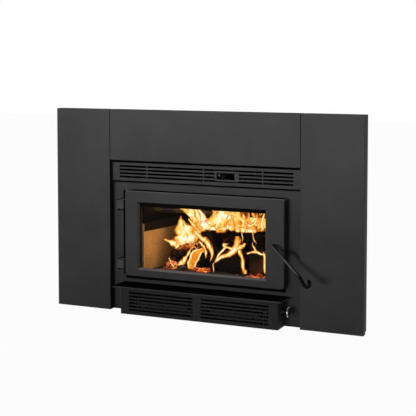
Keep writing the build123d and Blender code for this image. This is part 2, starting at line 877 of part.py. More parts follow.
# ---------------------------------------------------------------- fire
hearth_depth = back_brick_y - brick_front_y
hearth_middle_half = wall_inner_x(brick_front_y + hearth_depth / 2) - brick_thickness * taper_stretch
hearth_front_half = hearth_middle_half + hearth_depth / 2 * taper_slope


def hearth_place(across, along_depth, rise=0.0):
    """Point over the hearth by its shares of the half width and depth, and its rise."""
    return Vector(
        across * hearth_middle_half, brick_front_y + along_depth * hearth_depth, lining_floor + rise
    )


def log_between(ends, radius, gap=0.0):
    """Log with bevelled ends between two places over the hearth, larger all round by the gap."""
    start, end = (hearth_place(*place) for place in ends)
    with BuildPart() as log:
        with BuildSketch(Plane(origin=start, z_dir=end - start).offset(-gap)):
            Circle(radius + gap)
        extrude(amount=(end - start).length + 2 * gap)
        chamfer(log.edges().filter_by(GeomType.CIRCLE), log_bevel)
    return log.part


# each log notches those above it where they cross
with BuildPart() as fire_logs:
    for start, end, radius in fire_log_sizes:
        if fire_logs.part:
            add(log_between((start, end), radius, log_gap), mode=Mode.SUBTRACT)
        add(log_between((start, end), radius))
fire_logs.part.label = "fire_logs"
export_step(fire_logs.part, "parts/fire_logs.step")

heap = hearth_place(ember_heap_across, ember_heap_along)
with BuildPart() as ember_bed:
    with BuildSketch(Plane.XY.offset(lining_floor)):
        tapered_outline(
            hearth_front_half - ember_margin, brick_front_y + ember_margin, back_brick_y - ember_margin
        )
    extrude(amount=ember_depth, taper=ember_slope)
    with BuildSketch(Plane.XY.offset(lining_floor)):
        with Locations((heap.X, heap.Y)):
            Circle(ember_heap_radius)
    extrude(amount=ember_heap_height, taper=ember_slope)
    for start, end, radius in fire_log_sizes:
        add(log_between((start, end), radius, log_gap), mode=Mode.SUBTRACT)
ember_bed.part.label = "ember_bed"
export_step(ember_bed.part, "parts/ember_bed.step")

# ---------------------------------------------------------------- secondary air
tube_z = channel_bottom + channel_height - tube_radius - fit_clearance
with BuildPart() as air_channels:
    with BuildSketch(Plane.XY.offset(channel_bottom)):
        for sign in (-1, 1):
            wall_strip(sign, 0, channel_width, channel_front_y, channel_back_y)
    extrude(amount=channel_height)
    with BuildSketch(Plane.XY.offset(channel_bottom + channel_wall)):
        for sign in (-1, 1):
            wall_strip(
                sign, channel_wall, channel_width - 2 * channel_wall,
                channel_front_y + channel_wall, channel_back_y,
            )
    extrude(amount=channel_height - 2 * channel_wall, mode=Mode.SUBTRACT)
    # bores that take the air into the tubes
    for sign in (-1, 1):
        with BuildSketch(side_plane(0)):
            for index in range(tube_count):
                with Locations((tube_first_y + index * tube_spacing, tube_z)):
                    Circle(tube_radius - tube_wall)
        extrude(
            amount=sign * (wall_inner_x(tube_first_y) - channel_width / 2), mode=Mode.SUBTRACT
        )
air_channels.part.label = "air_channels"
export_step(air_channels.part, "parts/air_channels.step")

with BuildPart() as secondary_air_tubes:
    for index in range(tube_count):
        tube_y = tube_first_y + index * tube_spacing
        tube_half = wall_inner_x(tube_y - tube_radius)
        with BuildSketch(side_plane(-tube_half, tube_y, tube_z)):
            Circle(tube_radius)
            Circle(tube_radius - tube_wall, mode=Mode.SUBTRACT)
        extrude(amount=2 * tube_half)
        # a row of jets facing down towards the glass
        jet_plane = Plane(origin=(0, tube_y, tube_z), x_dir=(1, 0, 0), z_dir=(0, -1, -0.5))
        with BuildSketch(jet_plane):
            jet_row = 2 * (tube_half - tube_end_margin)
            with GridLocations(tube_hole_pitch, 0, int(jet_row / tube_hole_pitch), 1):
                Circle(tube_hole_radius)
        extrude(amount=2 * tube_radius, mode=Mode.SUBTRACT)
    # the ends are mitred to the air channels
    with BuildSketch(Plane.XY.offset(channel_bottom)):
        for sign in (-1, 1):
            wall_strip(sign, -channel_width, 2 * channel_width, plate_back_y, cavity_back_y)
    extrude(amount=channel_height, mode=Mode.SUBTRACT)
secondary_air_tubes.part.label = "secondary_air_tubes"
export_step(secondary_air_tubes.part, "parts/secondary_air_tubes.step")

with BuildPart() as baffle_boards:
    with BuildSketch(Plane.XY.offset(channel_bottom + channel_height)):
        board_half = wall_inner_x(board_front_y) - brick_joint
        tapered_outline(board_half, board_front_y, board_back_y)
        with Locations((0, (board_front_y + board_back_y) / 2)):
            Rectangle(brick_joint, board_back_y - board_front_y, mode=Mode.SUBTRACT)
    extrude(amount=board_thickness)
baffle_boards.part.label = "baffle_boards"
export_step(baffle_boards.part, "parts/baffle_boards.step")

with BuildPart() as airwash_manifold:
    with BuildSketch(Plane.XY.offset(manifold_bottom)):
        rectangle_between(
            -manifold_half_width, manifold_half_width, plate_back_y, plate_back_y + manifold_depth
        )
    extrude(amount=cavity_top - manifold_bottom)
    offset(amount=-manifold_wall, openings=airwash_manifold.faces().sort_by(Axis.Z)[-1])
    with BuildSketch(Plane.XY.offset(manifold_bottom)):
        rectangle_between(
            -manifold_half_width + 2 * manifold_wall, manifold_half_width - 2 * manifold_wall,
            plate_back_y + manifold_wall, plate_back_y + manifold_wall + wash_slot_depth,
        )
    extrude(amount=manifold_wall, mode=Mode.SUBTRACT)
airwash_manifold.part.label = "airwash_manifold"
export_step(airwash_manifold.part, "parts/airwash_manifold.step")

# ---------------------------------------------------------------- air control
shutter_bottom = firebox_top + slide_clearance
shutter_top = shutter_bottom + shutter_sheet
arm_y = (shutter_front_y + shutter_back_y) / 2 - port_depth / 2
stem_front_y = grille_face_y - control_reach
with BuildPart() as air_shutter:
    with BuildSketch(Plane.XY.offset(shutter_bottom)):
        rectangle_between(shutter_left, shutter_right, shutter_front_y, shutter_back_y)
        with Locations(*port_places):
            Rectangle(port_width, port_depth, mode=Mode.SUBTRACT)
    extrude(amount=shutter_sheet)
    with BuildSketch(front_plane(arm_y)):
        rectangle_between(
            control_x - control_arm_width / 2, control_x + control_arm_width / 2,
            shutter_bottom, control_z + control_arm_width / 2,
        )
    extrude(amount=shutter_sheet)
    with BuildSketch(front_plane(arm_y)):
        with Locations((control_x, control_z)):
            Circle(control_stem_radius)
    extrude(amount=arm_y - stem_front_y)
air_shutter.part.label = "air_shutter"
export_step(air_shutter.part, "parts/air_shutter.step")

with BuildPart() as air_control_knob:
    with BuildSketch(front_plane(stem_front_y + control_knob_radius)):
        with Locations((control_x, control_z)):
            Circle(control_knob_radius)
            Circle(control_stem_radius, mode=Mode.SUBTRACT)
    extrude(amount=control_knob_radius)
    with BuildSketch(front_plane(stem_front_y)):
        with Locations((control_x, control_z)):
            Circle(control_knob_radius)
    extrude(amount=control_knob_radius / 2)
    fillet(
        air_control_knob.edges().filter_by(GeomType.CIRCLE).group_by(Axis.Y)[0],
        control_knob_rounding,
    )
air_control_knob.part.label = "air_control_knob"
export_step(air_control_knob.part, "parts/air_control_knob.step")

guide_left = shutter_left - guide_end
guide_right = shutter_right + control_travel + guide_end
lip_bottom = shutter_top + slide_clearance
with BuildPart() as shutter_guides:
    with BuildSketch(side_plane(guide_left)):
        for edge_y, outward in ((shutter_front_y, -1), (shutter_back_y, 1)):
            wall = sorted(
                (edge_y + outward * slide_clearance, edge_y + outward * (guide_wall + slide_clearance))
            )
            lip = sorted((edge_y - outward * guide_lap, wall[0] if outward < 0 else wall[1]))
            rectangle_between(wall[0], wall[1], firebox_top, lip_bottom)
            rectangle_between(lip[0], lip[1], lip_bottom, lip_bottom + guide_sheet)
    extrude(amount=guide_right - guide_left)
shutter_guides.part.label = "shutter_guides"
export_step(shutter_guides.part, "parts/shutter_guides.step")

# ---------------------------------------------------------------- casing
casing_back_half = casing_half(casing_back_y)
rear_window_half = casing_back_half - casing_flange
casing_screw_step = (casing_top - 2 * casing_screw_inset) / (casing_screw_count - 1)
casing_screw_places = [
    (sign * (casing_back_half - casing_flange / 2), casing_screw_inset + index * casing_screw_step)
    for sign in (-1, 1)
    for index in range(casing_screw_count)
]
with BuildPart() as casing_wrap:
    with BuildSketch(Plane.XY.offset(base_sheet)):
        tapered_outline(casing_front_half, plate_back_y, casing_back_y)
    extrude(amount=casing_top - base_sheet)
    front = casing_wrap.faces().sort_by(Axis.Y)[0]
    bottom = casing_wrap.faces().sort_by(Axis.Z)[0]
    offset(amount=-casing_sheet, openings=[front, bottom])
    # window in the back, leaving a screw flange
    with BuildSketch(front_plane(casing_back_y)):
        rectangle_between(
            -rear_window_half, rear_window_half,
            base_sheet + casing_flange, casing_top - casing_flange,
        )
        with Locations(*casing_screw_places):
            Circle(screw_radius + screw_clearance)
    extrude(amount=casing_sheet, mode=Mode.SUBTRACT)
    # clearance hole round the flue collar
    with BuildSketch(Plane.XY.offset(casing_top - casing_sheet)):
        with Locations((0, flue_y)):
            Circle(flue_bore_radius + flue_wall + collar_clearance)
    extrude(amount=casing_sheet, mode=Mode.SUBTRACT)
casing_wrap.part.label = "casing_wrap"
export_step(casing_wrap.part, "parts/casing_wrap.step")

with BuildPart() as casing_back:
    with BuildSketch(front_plane(casing_back_y + casing_sheet)):
        rectangle_between(-casing_back_half, casing_back_half, base_sheet, casing_top)
        with Locations(*casing_screw_places):
            Circle(screw_radius + screw_clearance, mode=Mode.SUBTRACT)
    extrude(amount=casing_sheet)
casing_back.part.label = "casing_back"
export_step(casing_back.part, "parts/casing_back.step")

with BuildPart() as casing_screws:
    with BuildSketch(front_plane(casing_back_y + casing_sheet)):
        with Locations(*casing_screw_places):
            Circle(screw_radius + screw_head_overlap)
    extrude(amount=-screw_head_height)
    with BuildSketch(front_plane(casing_back_y + casing_sheet)):
        with Locations(*casing_screw_places):
            Circle(screw_radius)
    extrude(amount=casing_screw_depth)
casing_screws.part.label = "casing_screws"
export_step(casing_screws.part, "parts/casing_screws.step")

with BuildPart() as casing_base:
    with BuildSketch(Plane.XY):
        tapered_outline(casing_front_half, plate_back_y, casing_back_y + casing_sheet)
    extrude(amount=base_sheet)
casing_base.part.label = "casing_base"
export_step(casing_base.part, "parts/casing_base.step")

with BuildPart() as firebox_supports:
    with BuildSketch(front_plane(plate_back_y + support_end_gap)):
        for sign in (-1, 1):
            web = sorted((sign * support_web_x, sign * (support_web_x + support_sheet)))
            flange = sorted((sign * support_web_x, sign * (support_web_x + support_flange)))
            rectangle_between(web[0], web[1], base_sheet, firebox_bottom)
            rectangle_between(flange[0], flange[1], base_sheet, base_sheet + support_sheet)
            rectangle_between(flange[0], flange[1], firebox_bottom - support_sheet, firebox_bottom)
    extrude(amount=2 * support_end_gap - firebox_depth)
firebox_supports.part.label = "firebox_supports"
export_step(firebox_supports.part, "parts/firebox_supports.step")

# ---------------------------------------------------------------- door
bush_radius_outer = rod_radius + running_clearance + bush_wall
with BuildPart() as door_frame:
    with BuildSketch(front_plane(door_back_y)):
        rounded_between(door_left, door_right, door_bottom, door_top, door_corner_radius)
    extrude(amount=door_thickness)
    fillet(door_frame.faces().sort_by(Axis.Y)[0].edges(), door_edge_radius)
    # hollow back inside the rim
    with BuildSketch(front_plane(door_back_y)):
        rounded_between(
            door_left + door_rim, door_right - door_rim, door_bottom + door_rim,
            door_top - door_rim, door_corner_radius - door_rim,
        )
    extrude(amount=door_thickness - door_face, mode=Mode.SUBTRACT)
    # gasket channel: a solid ring with two ribs
    with BuildSketch(front_plane(gasket_floor_y)):
        rectangle_between(
            -gasket_outer_half - gasket_channel_wall, gasket_outer_half + gasket_channel_wall,
            gasket_outer_bottom - gasket_channel_wall, gasket_outer_top + gasket_channel_wall,
        )
        rectangle_between(
            -gasket_inner_half + gasket_channel_wall, gasket_inner_half - gasket_channel_wall,
            gasket_inner_bottom + gasket_channel_wall, gasket_inner_top - gasket_channel_wall,
            mode=Mode.SUBTRACT,
        )
    extrude(amount=gasket_floor_y - door_inner_y)
    with BuildSketch(front_plane(channel_edge_y)):
        rectangle_between(
            -gasket_outer_half - gasket_channel_wall, gasket_outer_half + gasket_channel_wall,
            gasket_outer_bottom - gasket_channel_wall, gasket_outer_top + gasket_channel_wall,
        )
        rectangle_between(
            -gasket_outer_half, gasket_outer_half, gasket_outer_bottom, gasket_outer_top,
            mode=Mode.SUBTRACT,
        )
        rectangle_between(
            -gasket_inner_half, gasket_inner_half, gasket_inner_bottom, gasket_inner_top
        )
        rectangle_between(
            -gasket_inner_half + gasket_channel_wall, gasket_inner_half - gasket_channel_wall,
            gasket_inner_bottom + gasket_channel_wall, gasket_inner_top - gasket_channel_wall,
            mode=Mode.SUBTRACT,
        )
    extrude(amount=channel_edge_y - gasket_floor_y)
    # boss for the spindle bush
    with BuildSketch(front_plane(door_inner_y + bush_boss_length)):
        with Locations((spindle_x, spindle_z)):
            Circle(bush_radius_outer + bush_boss_wall)
    extrude(amount=bush_boss_length)
    # bevelled window and the bush's bore
    with BuildSketch(front_plane(door_inner_y)):
        rectangle_between(-glass_view_half, glass_view_half, glass_view_bottom, glass_view_top)
    extrude(amount=door_face, mode=Mode.SUBTRACT)
    chamfer(door_frame.faces().sort_by(Axis.Y)[0].inner_wires()[0].edges(), glass_bevel)
    with BuildSketch(front_plane(door_inner_y + bush_boss_length)):
        with Locations((spindle_x, spindle_z)):
            Circle(bush_radius_outer)
    extrude(amount=bush_boss_length + door_face, mode=Mode.SUBTRACT)
door_frame.part.label = "door_frame"
export_step(door_frame.part, "parts/door_frame.step")

with BuildPart() as door_glass:
    with BuildSketch(front_plane(glass_back_y)):
        rounded_between(-glass_half, glass_half, glass_bottom, glass_top, glass_corner_radius)
    extrude(amount=glass_thickness)
door_glass.part.label = "door_glass"
export_step(door_glass.part, "parts/door_glass.step")

with BuildPart() as glass_gasket:
    with BuildSketch(front_plane(glass_front_y)):
        rectangle_between(-glass_half, glass_half, glass_bottom, glass_top)
        rectangle_between(
            glass_gasket_width - glass_half, glass_half - glass_gasket_width,
            glass_bottom + glass_gasket_width, glass_top - glass_gasket_width,
            mode=Mode.SUBTRACT,
        )
    extrude(amount=glass_gasket_thickness)
glass_gasket.part.label = "glass_gasket"
export_step(glass_gasket.part, "parts/glass_gasket.step")

# the clips stand on the channel's inner wall; local x points out from the glass
clip_wall_x = gasket_inner_half - gasket_channel_wall
clip_wall_top = gasket_inner_top - gasket_channel_wall
clip_wall_bottom = gasket_inner_bottom + gasket_channel_wall
clip_side_heights = (glass_bottom + clip_side_inset, glass_top - clip_side_inset)
clip_row_positions = (clip_row_inset - glass_half, glass_half - clip_row_inset)
clip_places = (
    [Location((clip_wall_x, 0, z), (0, 0, 0)) for z in clip_side_heights]
    + [Location((-clip_wall_x, 0, z), (0, 180, 0)) for z in clip_side_heights]
    + [Location((x, 0, clip_wall_top), (0, -90, 0)) for x in clip_row_positions]
    + [Location((x, 0, clip_wall_bottom), (0, 90, 0)) for x in clip_row_positions]
)
clip_screw_y = glass_back_y + clip_sheet + 2 * clip_screw_radius + fit_clearance
clip_length = clip_sheet + 4 * clip_screw_radius + 2 * fit_clearance
with BuildPart() as glass_clips:
    with Locations(*clip_places):
        with Locations((-clip_sheet / 2, glass_back_y + clip_length / 2, 0)):
            Box(clip_sheet, clip_length, clip_width)
        with Locations((-clip_reach / 2, glass_back_y + clip_sheet / 2, 0)):
            Box(clip_reach, clip_sheet, clip_width)
        with Locations((0, clip_screw_y, 0)):
            Cylinder(
                clip_screw_radius + screw_clearance, 4 * clip_sheet,
                rotation=(0, 90, 0), mode=Mode.SUBTRACT,
            )
glass_clips.part.label = "glass_clips"
export_step(glass_clips.part, "parts/glass_clips.step")

with BuildPart() as clip_screws:
    with Locations(*clip_places):
        with Locations((-1.5 * clip_sheet, clip_screw_y, 0)):
            Cylinder(2 * clip_screw_radius, clip_sheet, rotation=(0, 90, 0))
        with Locations((-clip_sheet / 2, clip_screw_y, 0)):
            Cylinder(clip_screw_radius, clip_sheet, rotation=(0, 90, 0))
clip_screws.part.label = "clip_screws"
export_step(clip_screws.part, "parts/clip_screws.step")

with BuildPart() as door_gasket:
    with BuildSketch(front_plane(plate_front_y)):
        rectangle_between(
            -gasket_outer_half, gasket_outer_half, gasket_outer_bottom, gasket_outer_top
        )
        rectangle_between(
            -gasket_inner_half, gasket_inner_half, gasket_inner_bottom, gasket_inner_top,
            mode=Mode.SUBTRACT,
        )
    extrude(amount=gasket_thickness)
    fillet(door_gasket.faces().sort_by(Axis.Y)[-1].edges(), gasket_rounding)
door_gasket.part.label = "door_gasket"
export_step(door_gasket.part, "parts/door_gasket.step")

# ---------------------------------------------------------------- hinges
with BuildPart() as hinge_blocks:
    for block_bottom in hinge_block_bottoms:
        with BuildSketch(Plane.XY.offset(block_bottom)):
            rectangle_between(
                hinge_x - hinge_block_width / 2, hinge_x + hinge_block_width / 2,
                hinge_y - hinge_cover, plate_front_y,
            )
        extrude(amount=hinge_block_height)
    fillet(hinge_blocks.edges().filter_by(Axis.Z).group_by(Axis.Y)[0], hinge_block_radius)
    for block_bottom in hinge_block_bottoms:
        with BuildSketch(Plane.XY.offset(block_bottom)):
            with Locations((hinge_x, hinge_y)):
                Circle(hinge_pin_radius + running_clearance)
        extrude(amount=hinge_block_height, mode=Mode.SUBTRACT)
hinge_blocks.part.label = "hinge_blocks"
export_step(hinge_blocks.part, "parts/hinge_blocks.step")

lug_radius = hinge_pin_radius + lug_wall
with BuildPart() as door_hinge_lugs:
    for block_bottom in hinge_block_bottoms:
        with BuildSketch(Plane.XY.offset(block_bottom + hinge_block_height + lug_gap)):
            with Locations((hinge_x, hinge_y)):
                Circle(lug_radius)
            rectangle_between(hinge_x, door_left, hinge_y - lug_radius, hinge_y + lug_radius)
            with Locations((hinge_x, hinge_y)):
                Circle(hinge_pin_radius, mode=Mode.SUBTRACT)
        extrude(amount=lug_thickness)
door_hinge_lugs.part.label = "door_hinge_lugs"
export_step(door_hinge_lugs.part, "parts/door_hinge_lugs.step")

with BuildPart() as hinge_pins:
    for block_bottom in hinge_block_bottoms:
        lug_top = block_bottom + hinge_block_height + lug_gap + lug_thickness
        with BuildSketch(Plane.XY.offset(block_bottom - pin_tail)):
            with Locations((hinge_x, hinge_y)):
                Circle(hinge_pin_radius)
        extrude(amount=lug_top - block_bottom + pin_tail)
        with BuildSketch(Plane.XY.offset(lug_top)):
            with Locations((hinge_x, hinge_y)):
                Circle(hinge_pin_radius + pin_head_overlap)
        extrude(amount=pin_head_height)
hinge_pins.part.label = "hinge_pins"
export_step(hinge_pins.part, "parts/hinge_pins.step")

# ---------------------------------------------------------------- handle and latch
rod_y = door_front_y - rod_stand_off
cam_y = plate_front_y - catch_reach + catch_lip_sheet + cam_gap
thread_radius = rod_radius - thread_depth


# the grip leaves the door at a lean, so fingers fit behind its far end
grip_ahead = Vector(
    cos(radians(rod_heading)) * cos(radians(rod_lean)),
    -sin(radians(rod_lean)),
    sin(radians(rod_heading)) * cos(radians(rod_lean)),
)
grip_aside = Vector(-sin(radians(rod_heading)), 0, cos(radians(rod_heading)))


def along(turned, distance):
    """Vector of a length in the grip's plane, by the angle it has turned from the grip."""
    ahead = distance * cos(radians(turned))
    aside = distance * sin(radians(turned))
    return grip_ahead * ahead + grip_aside * aside


def arc_end(start, turned, radius, turn):
    """End of an arc that leaves start at an angle and turns left by a signed angle."""
    side_of_centre = 90 if turn > 0 else -90
    centre = start + along(turned + side_of_centre, radius)
    return centre + along(turned + turn - side_of_centre, radius)


bend_reach = rod_bend_radius * tan(radians(90 - rod_lean) / 2)
spindle_corner = Vector(spindle_x, rod_y, spindle_z)
bend_start = spindle_corner + Vector(0, bend_reach, 0)
bend_end = spindle_corner + along(0, bend_reach)
sway_start = bend_end + along(0, rod_straight)
sway_end = arc_end(sway_start, 0, sway_radius, -sway_angle)
curl_start = sway_end + along(-sway_angle, neck_length)
curl_end = arc_end(curl_start, -sway_angle, curl_radius, curl_angle)
cam_back_y = cam_y + cam_thickness
with BuildPart() as handle_rod:
    with BuildLine() as rod_path:
        shank = Line((spindle_x, cam_back_y, spindle_z), bend_start)
        bend = TangentArc(bend_start, bend_end, tangent=(0, -1, 0))
        grip = Line(bend_end, sway_start)
        sway = TangentArc(sway_start, sway_end, tangent=grip % 1)
        neck = Line(sway_end, curl_start)
        TangentArc(curl_start, curl_end, tangent=neck % 1)
    with BuildSketch(Plane(origin=rod_path.line @ 0, z_dir=rod_path.line % 0)):
        Circle(rod_radius)
    sweep()
    # threaded end behind the cam
    with BuildSketch(front_plane(cam_back_y)):
        with Locations((spindle_x, spindle_z)):
            Circle(thread_radius)
    extrude(amount=-(nut_height + thread_past_nut))
handle_rod.part.label = "handle_rod"
export_step(handle_rod.part, "parts/handle_rod.step")

with BuildPart() as spindle_bush:
    with BuildSketch(front_plane(door_inner_y + bush_boss_length)):
        with Locations((spindle_x, spindle_z)):
            Circle(bush_radius_outer)
            Circle(rod_radius + running_clearance, mode=Mode.SUBTRACT)
    extrude(amount=bush_boss_length + door_face)
    with BuildSketch(front_plane(door_front_y)):
        with Locations((spindle_x, spindle_z)):
            Circle(bush_radius_outer + bush_flange)
            Circle(rod_radius + running_clearance, mode=Mode.SUBTRACT)
    extrude(amount=bush_flange)
spindle_bush.part.label = "spindle_bush"
export_step(spindle_bush.part, "parts/spindle_bush.step")

with BuildPart() as latch_cam:
    with BuildSketch(front_plane(cam_back_y)):
        with Locations(Location((spindle_x, spindle_z, 0), (0, 0, cam_angle))):
            Rectangle(cam_length, cam_width, align=(Align.MIN, Align.CENTER))
    extrude(amount=cam_thickness)
    with BuildSketch(front_plane(cam_back_y)):
        with Locations((spindle_x, spindle_z)):
            Circle(cam_hub_radius)
    extrude(amount=cam_back_y - door_inner_y - bush_boss_length - lug_gap)
    with BuildSketch(front_plane(cam_back_y)):
        with Locations((spindle_x, spindle_z)):
            Circle(rod_radius)
    extrude(amount=cam_back_y - door_inner_y, mode=Mode.SUBTRACT)
latch_cam.part.label = "latch_cam"
export_step(latch_cam.part, "parts/latch_cam.step")

with BuildPart() as spindle_nut:
    with BuildSketch(front_plane(cam_back_y + nut_height)):
        with Locations((spindle_x, spindle_z)):
            RegularPolygon(nut_across_flats / 2, 6, major_radius=False)
            Circle(thread_radius, mode=Mode.SUBTRACT)
    extrude(amount=nut_height)
spindle_nut.part.label = "spindle_nut"
export_step(spindle_nut.part, "parts/spindle_nut.step")

# the catch's lip stops just under the cam as photographed; turning the handle down
# carries the cam's tongue behind it
catch_lip_left = catch_right - catch_lip_width
catch_bottom = spindle_z - catch_drop
catch_top = catch_bottom + catch_height
catch_front_y = plate_front_y - catch_reach
cam_slope = tan(radians(cam_angle))
cam_underside = cam_width / 2 / cos(radians(cam_angle)) + catch_clearance
with BuildPart() as latch_catch:
    with BuildSketch(Plane.XY.offset(catch_bottom)):
        rectangle_between(catch_lip_left, catch_right, plate_front_y - catch_sheet, plate_front_y)
        rectangle_between(catch_leg_left, catch_right, catch_front_y, plate_front_y)
    extrude(amount=catch_top - catch_bottom)
    with BuildSketch(front_plane(catch_front_y + catch_lip_sheet)):
        with BuildLine():
            Polyline(
                (catch_lip_left, catch_bottom),
                (catch_right, catch_bottom),
                (catch_right, spindle_z + (catch_right - spindle_x) * cam_slope - cam_underside),
                (
                    catch_lip_left,
                    spindle_z + (catch_lip_left - spindle_x) * cam_slope - cam_underside,
                ),
                close=True,
            )
        make_face()
    extrude(amount=catch_lip_sheet)
latch_catch.part.label = "latch_catch"
export_step(latch_catch.part, "parts/latch_catch.step")

# ---------------------------------------------------------------- ash shelf and blower
with BuildPart() as ash_shelf:
    with BuildSketch(Plane.XY.offset(blower_height)):
        rectangle_between(-shelf_half_width, shelf_half_width, blower_face_y - shelf_overhang, plate_front_y)
    extrude(amount=shelf_thickness)
    fillet(ash_shelf.edges().filter_by(Axis.Z).group_by(Axis.Y)[0], shelf_corner_radius)
    fillet(ash_shelf.faces().sort_by(Axis.Z)[-1].edges().sort_by(Axis.Y)[:-1], shelf_edge_radius)
ash_shelf.part.label = "ash_shelf"
export_step(ash_shelf.part, "parts/ash_shelf.step")

blower_slot_outer = blower_half_width - blower_slot_margin
gland_y = fan_y + gland_offset
gland_radius = gland_bore_radius + gland_wall
with BuildPart() as blower_cover:
    with BuildSketch(front_plane(plate_front_y)):
        rectangle_between(-blower_half_width, blower_half_width, 0, blower_height)
    extrude(amount=plate_front_y - blower_face_y)
    fillet(
        blower_cover.edges().filter_by(Axis.Z).group_by(Axis.Y)[0], blower_fold_radius
    )
    back = blower_cover.faces().sort_by(Axis.Y)[-1]
    bottom = blower_cover.faces().sort_by(Axis.Z)[0]
    offset(amount=-blower_sheet, openings=[back, bottom])
    with BuildSketch(front_plane(blower_face_y + blower_sheet)):
        for row in range(blower_rows):
            row_z = blower_height - blower_top_border - row * blower_slot_pitch
            for sign in (-1, 1):
                ends = sorted((sign * blower_slot_inner, sign * blower_slot_outer))
                rectangle_between(
                    ends[0], ends[1],
                    row_z - blower_slot_height / 2, row_z + blower_slot_height / 2,
                )
    extrude(amount=blower_sheet, mode=Mode.SUBTRACT)
    with BuildSketch(side_plane(0, fan_y, speed_z)):
        Circle(speed_neck_radius + screw_clearance)
    extrude(amount=blower_half_width, mode=Mode.SUBTRACT)
    with BuildSketch(side_plane(0, gland_y, gland_rise)):
        Circle(gland_radius)
    extrude(amount=-blower_half_width, mode=Mode.SUBTRACT)
blower_cover.part.label = "blower_cover"
export_step(blower_cover.part, "parts/blower_cover.step")

tray_half = wall_x - tray_clearance
with BuildPart() as blower_tray:
    with BuildSketch(Plane.XY):
        rectangle_between(
            -tray_half, tray_half, blower_face_y + blower_sheet + tray_clearance, plate_front_y
        )
    extrude(amount=tray_height)
    fillet(
        blower_tray.edges().filter_by(Axis.Z).group_by(Axis.Y)[0], blower_fold_radius
    )
    back = blower_tray.faces().sort_by(Axis.Y)[-1]
    top = blower_tray.faces().sort_by(Axis.Z)[-1]
    offset(amount=-tray_sheet, openings=[back, top])
    # the blower's air passes through slots in line with the cover's lowest row
    with BuildSketch(front_plane(blower_face_y + blower_sheet + tray_clearance + tray_sheet)):
        for sign in (-1, 1):
            ends = sorted((sign * blower_slot_inner, sign * blower_slot_outer))
            rectangle_between(
                ends[0], ends[1], tray_slot_sill, tray_height
            )
    extrude(amount=tray_sheet, mode=Mode.SUBTRACT)
blower_tray.part.label = "blower_tray"
export_step(blower_tray.part, "parts/blower_tray.step")

ear_x = stator_half_length + shield_length - ear_sheet
stator_bottom = fan_z - stator_size / 2
coil_bottom = tray_sheet + ear_sheet + coil_floor_gap
# brackets on the tray: ears that hold the motor's end shields, and one at each bearing
with BuildPart() as blower_brackets:
    with BuildSketch(Plane.XY.offset(tray_sheet)):
        with Locations((0, fan_y)):
            Rectangle(2 * (ear_x + ear_sheet), bracket_foot_depth)
    extrude(amount=ear_sheet)
    for sign in (-1, 1):
        with BuildSketch(side_plane(sign * ear_x, fan_y)):
            rectangle_between(-ear_depth / 2, ear_depth / 2, tray_sheet, fan_z)
            with Locations((0, fan_z)):
                Circle(ear_depth / 2)
                Circle(shield_radius, mode=Mode.SUBTRACT)
        extrude(amount=sign * ear_sheet)
        with BuildSketch(side_plane(sign * bearing_x, fan_y)):
            rectangle_between(-bearing_depth / 2, bearing_depth / 2, tray_sheet, fan_z)
            with Locations((0, fan_z)):
                Circle(bearing_depth / 2)
                Circle(bush_radius, mode=Mode.SUBTRACT)
        extrude(amount=sign * bearing_sheet)
        foot = sorted((sign * bearing_x, sign * (bearing_x + bearing_foot)))
        with BuildSketch(Plane.XY.offset(tray_sheet)):
            rectangle_between(
                foot[0], foot[1], fan_y - bearing_depth / 2, fan_y + bearing_depth / 2
            )
        extrude(amount=bearing_sheet)
blower_brackets.part.label = "blower_brackets"
export_step(blower_brackets.part, "parts/blower_brackets.step")

with BuildPart() as blower_motor:
    with BuildSketch(side_plane(-stator_half_length, fan_y, fan_z)):
        RectangleRounded(stator_size, stator_size, blower_fold_radius)
        Circle(rotor_radius + stator_gap, mode=Mode.SUBTRACT)
    extrude(amount=2 * stator_half_length)
    with BuildSketch(side_plane(-coil_half_length, fan_y)):
        rectangle_between(
            -coil_depth / 2, coil_depth / 2, coil_bottom, stator_bottom
        )
    extrude(amount=2 * coil_half_length)
    fillet(blower_motor.edges().filter_by(Axis.X).group_by(Axis.Z)[0], blower_fold_radius)
    for sign in (-1, 1):
        with BuildSketch(side_plane(sign * stator_half_length, fan_y, fan_z)):
            Circle(shield_radius)
            Circle(shaft_radius + running_clearance, mode=Mode.SUBTRACT)
        extrude(amount=sign * shield_length)
blower_motor.part.label = "blower_motor"
export_step(blower_motor.part, "parts/blower_motor.step")

with BuildPart() as fan_shaft:
    with BuildSketch(side_plane(-shaft_half_length, fan_y, fan_z)):
        Circle(shaft_radius)
    extrude(amount=2 * shaft_half_length)
    with BuildSketch(side_plane(-rotor_half_length, fan_y, fan_z)):
        Circle(rotor_radius)
    extrude(amount=2 * rotor_half_length)
fan_shaft.part.label = "fan_shaft"
export_step(fan_shaft.part, "parts/fan_shaft.step")

for side, sign in (("left", -1), ("right", 1)):
    start_x = sign * impeller_start
    with BuildPart() as impeller:
        with BuildSketch(side_plane(start_x, fan_y, fan_z)):
            with PolarLocations(impeller_radius - blade_inset, blade_count):
                Rectangle(blade_chord, blade_thickness, rotation=blade_angle)
        extrude(amount=sign * impeller_length)
        # end discs and one half way along
        for share in (0, 0.5, 1):
            disc_x = start_x + sign * share * (impeller_length - disc_thickness)
            with BuildSketch(side_plane(disc_x, fan_y, fan_z)):
                Circle(impeller_radius)
                Circle(shaft_radius, mode=Mode.SUBTRACT)
            extrude(amount=sign * disc_thickness)
        with BuildSketch(side_plane(start_x, fan_y, fan_z)):
            Circle(shaft_radius + hub_wall)
            Circle(shaft_radius, mode=Mode.SUBTRACT)
        extrude(amount=sign * hub_length)
    impeller.part.label = f"{side}_impeller"
    export_step(impeller.part, f"parts/{side}_impeller.step")

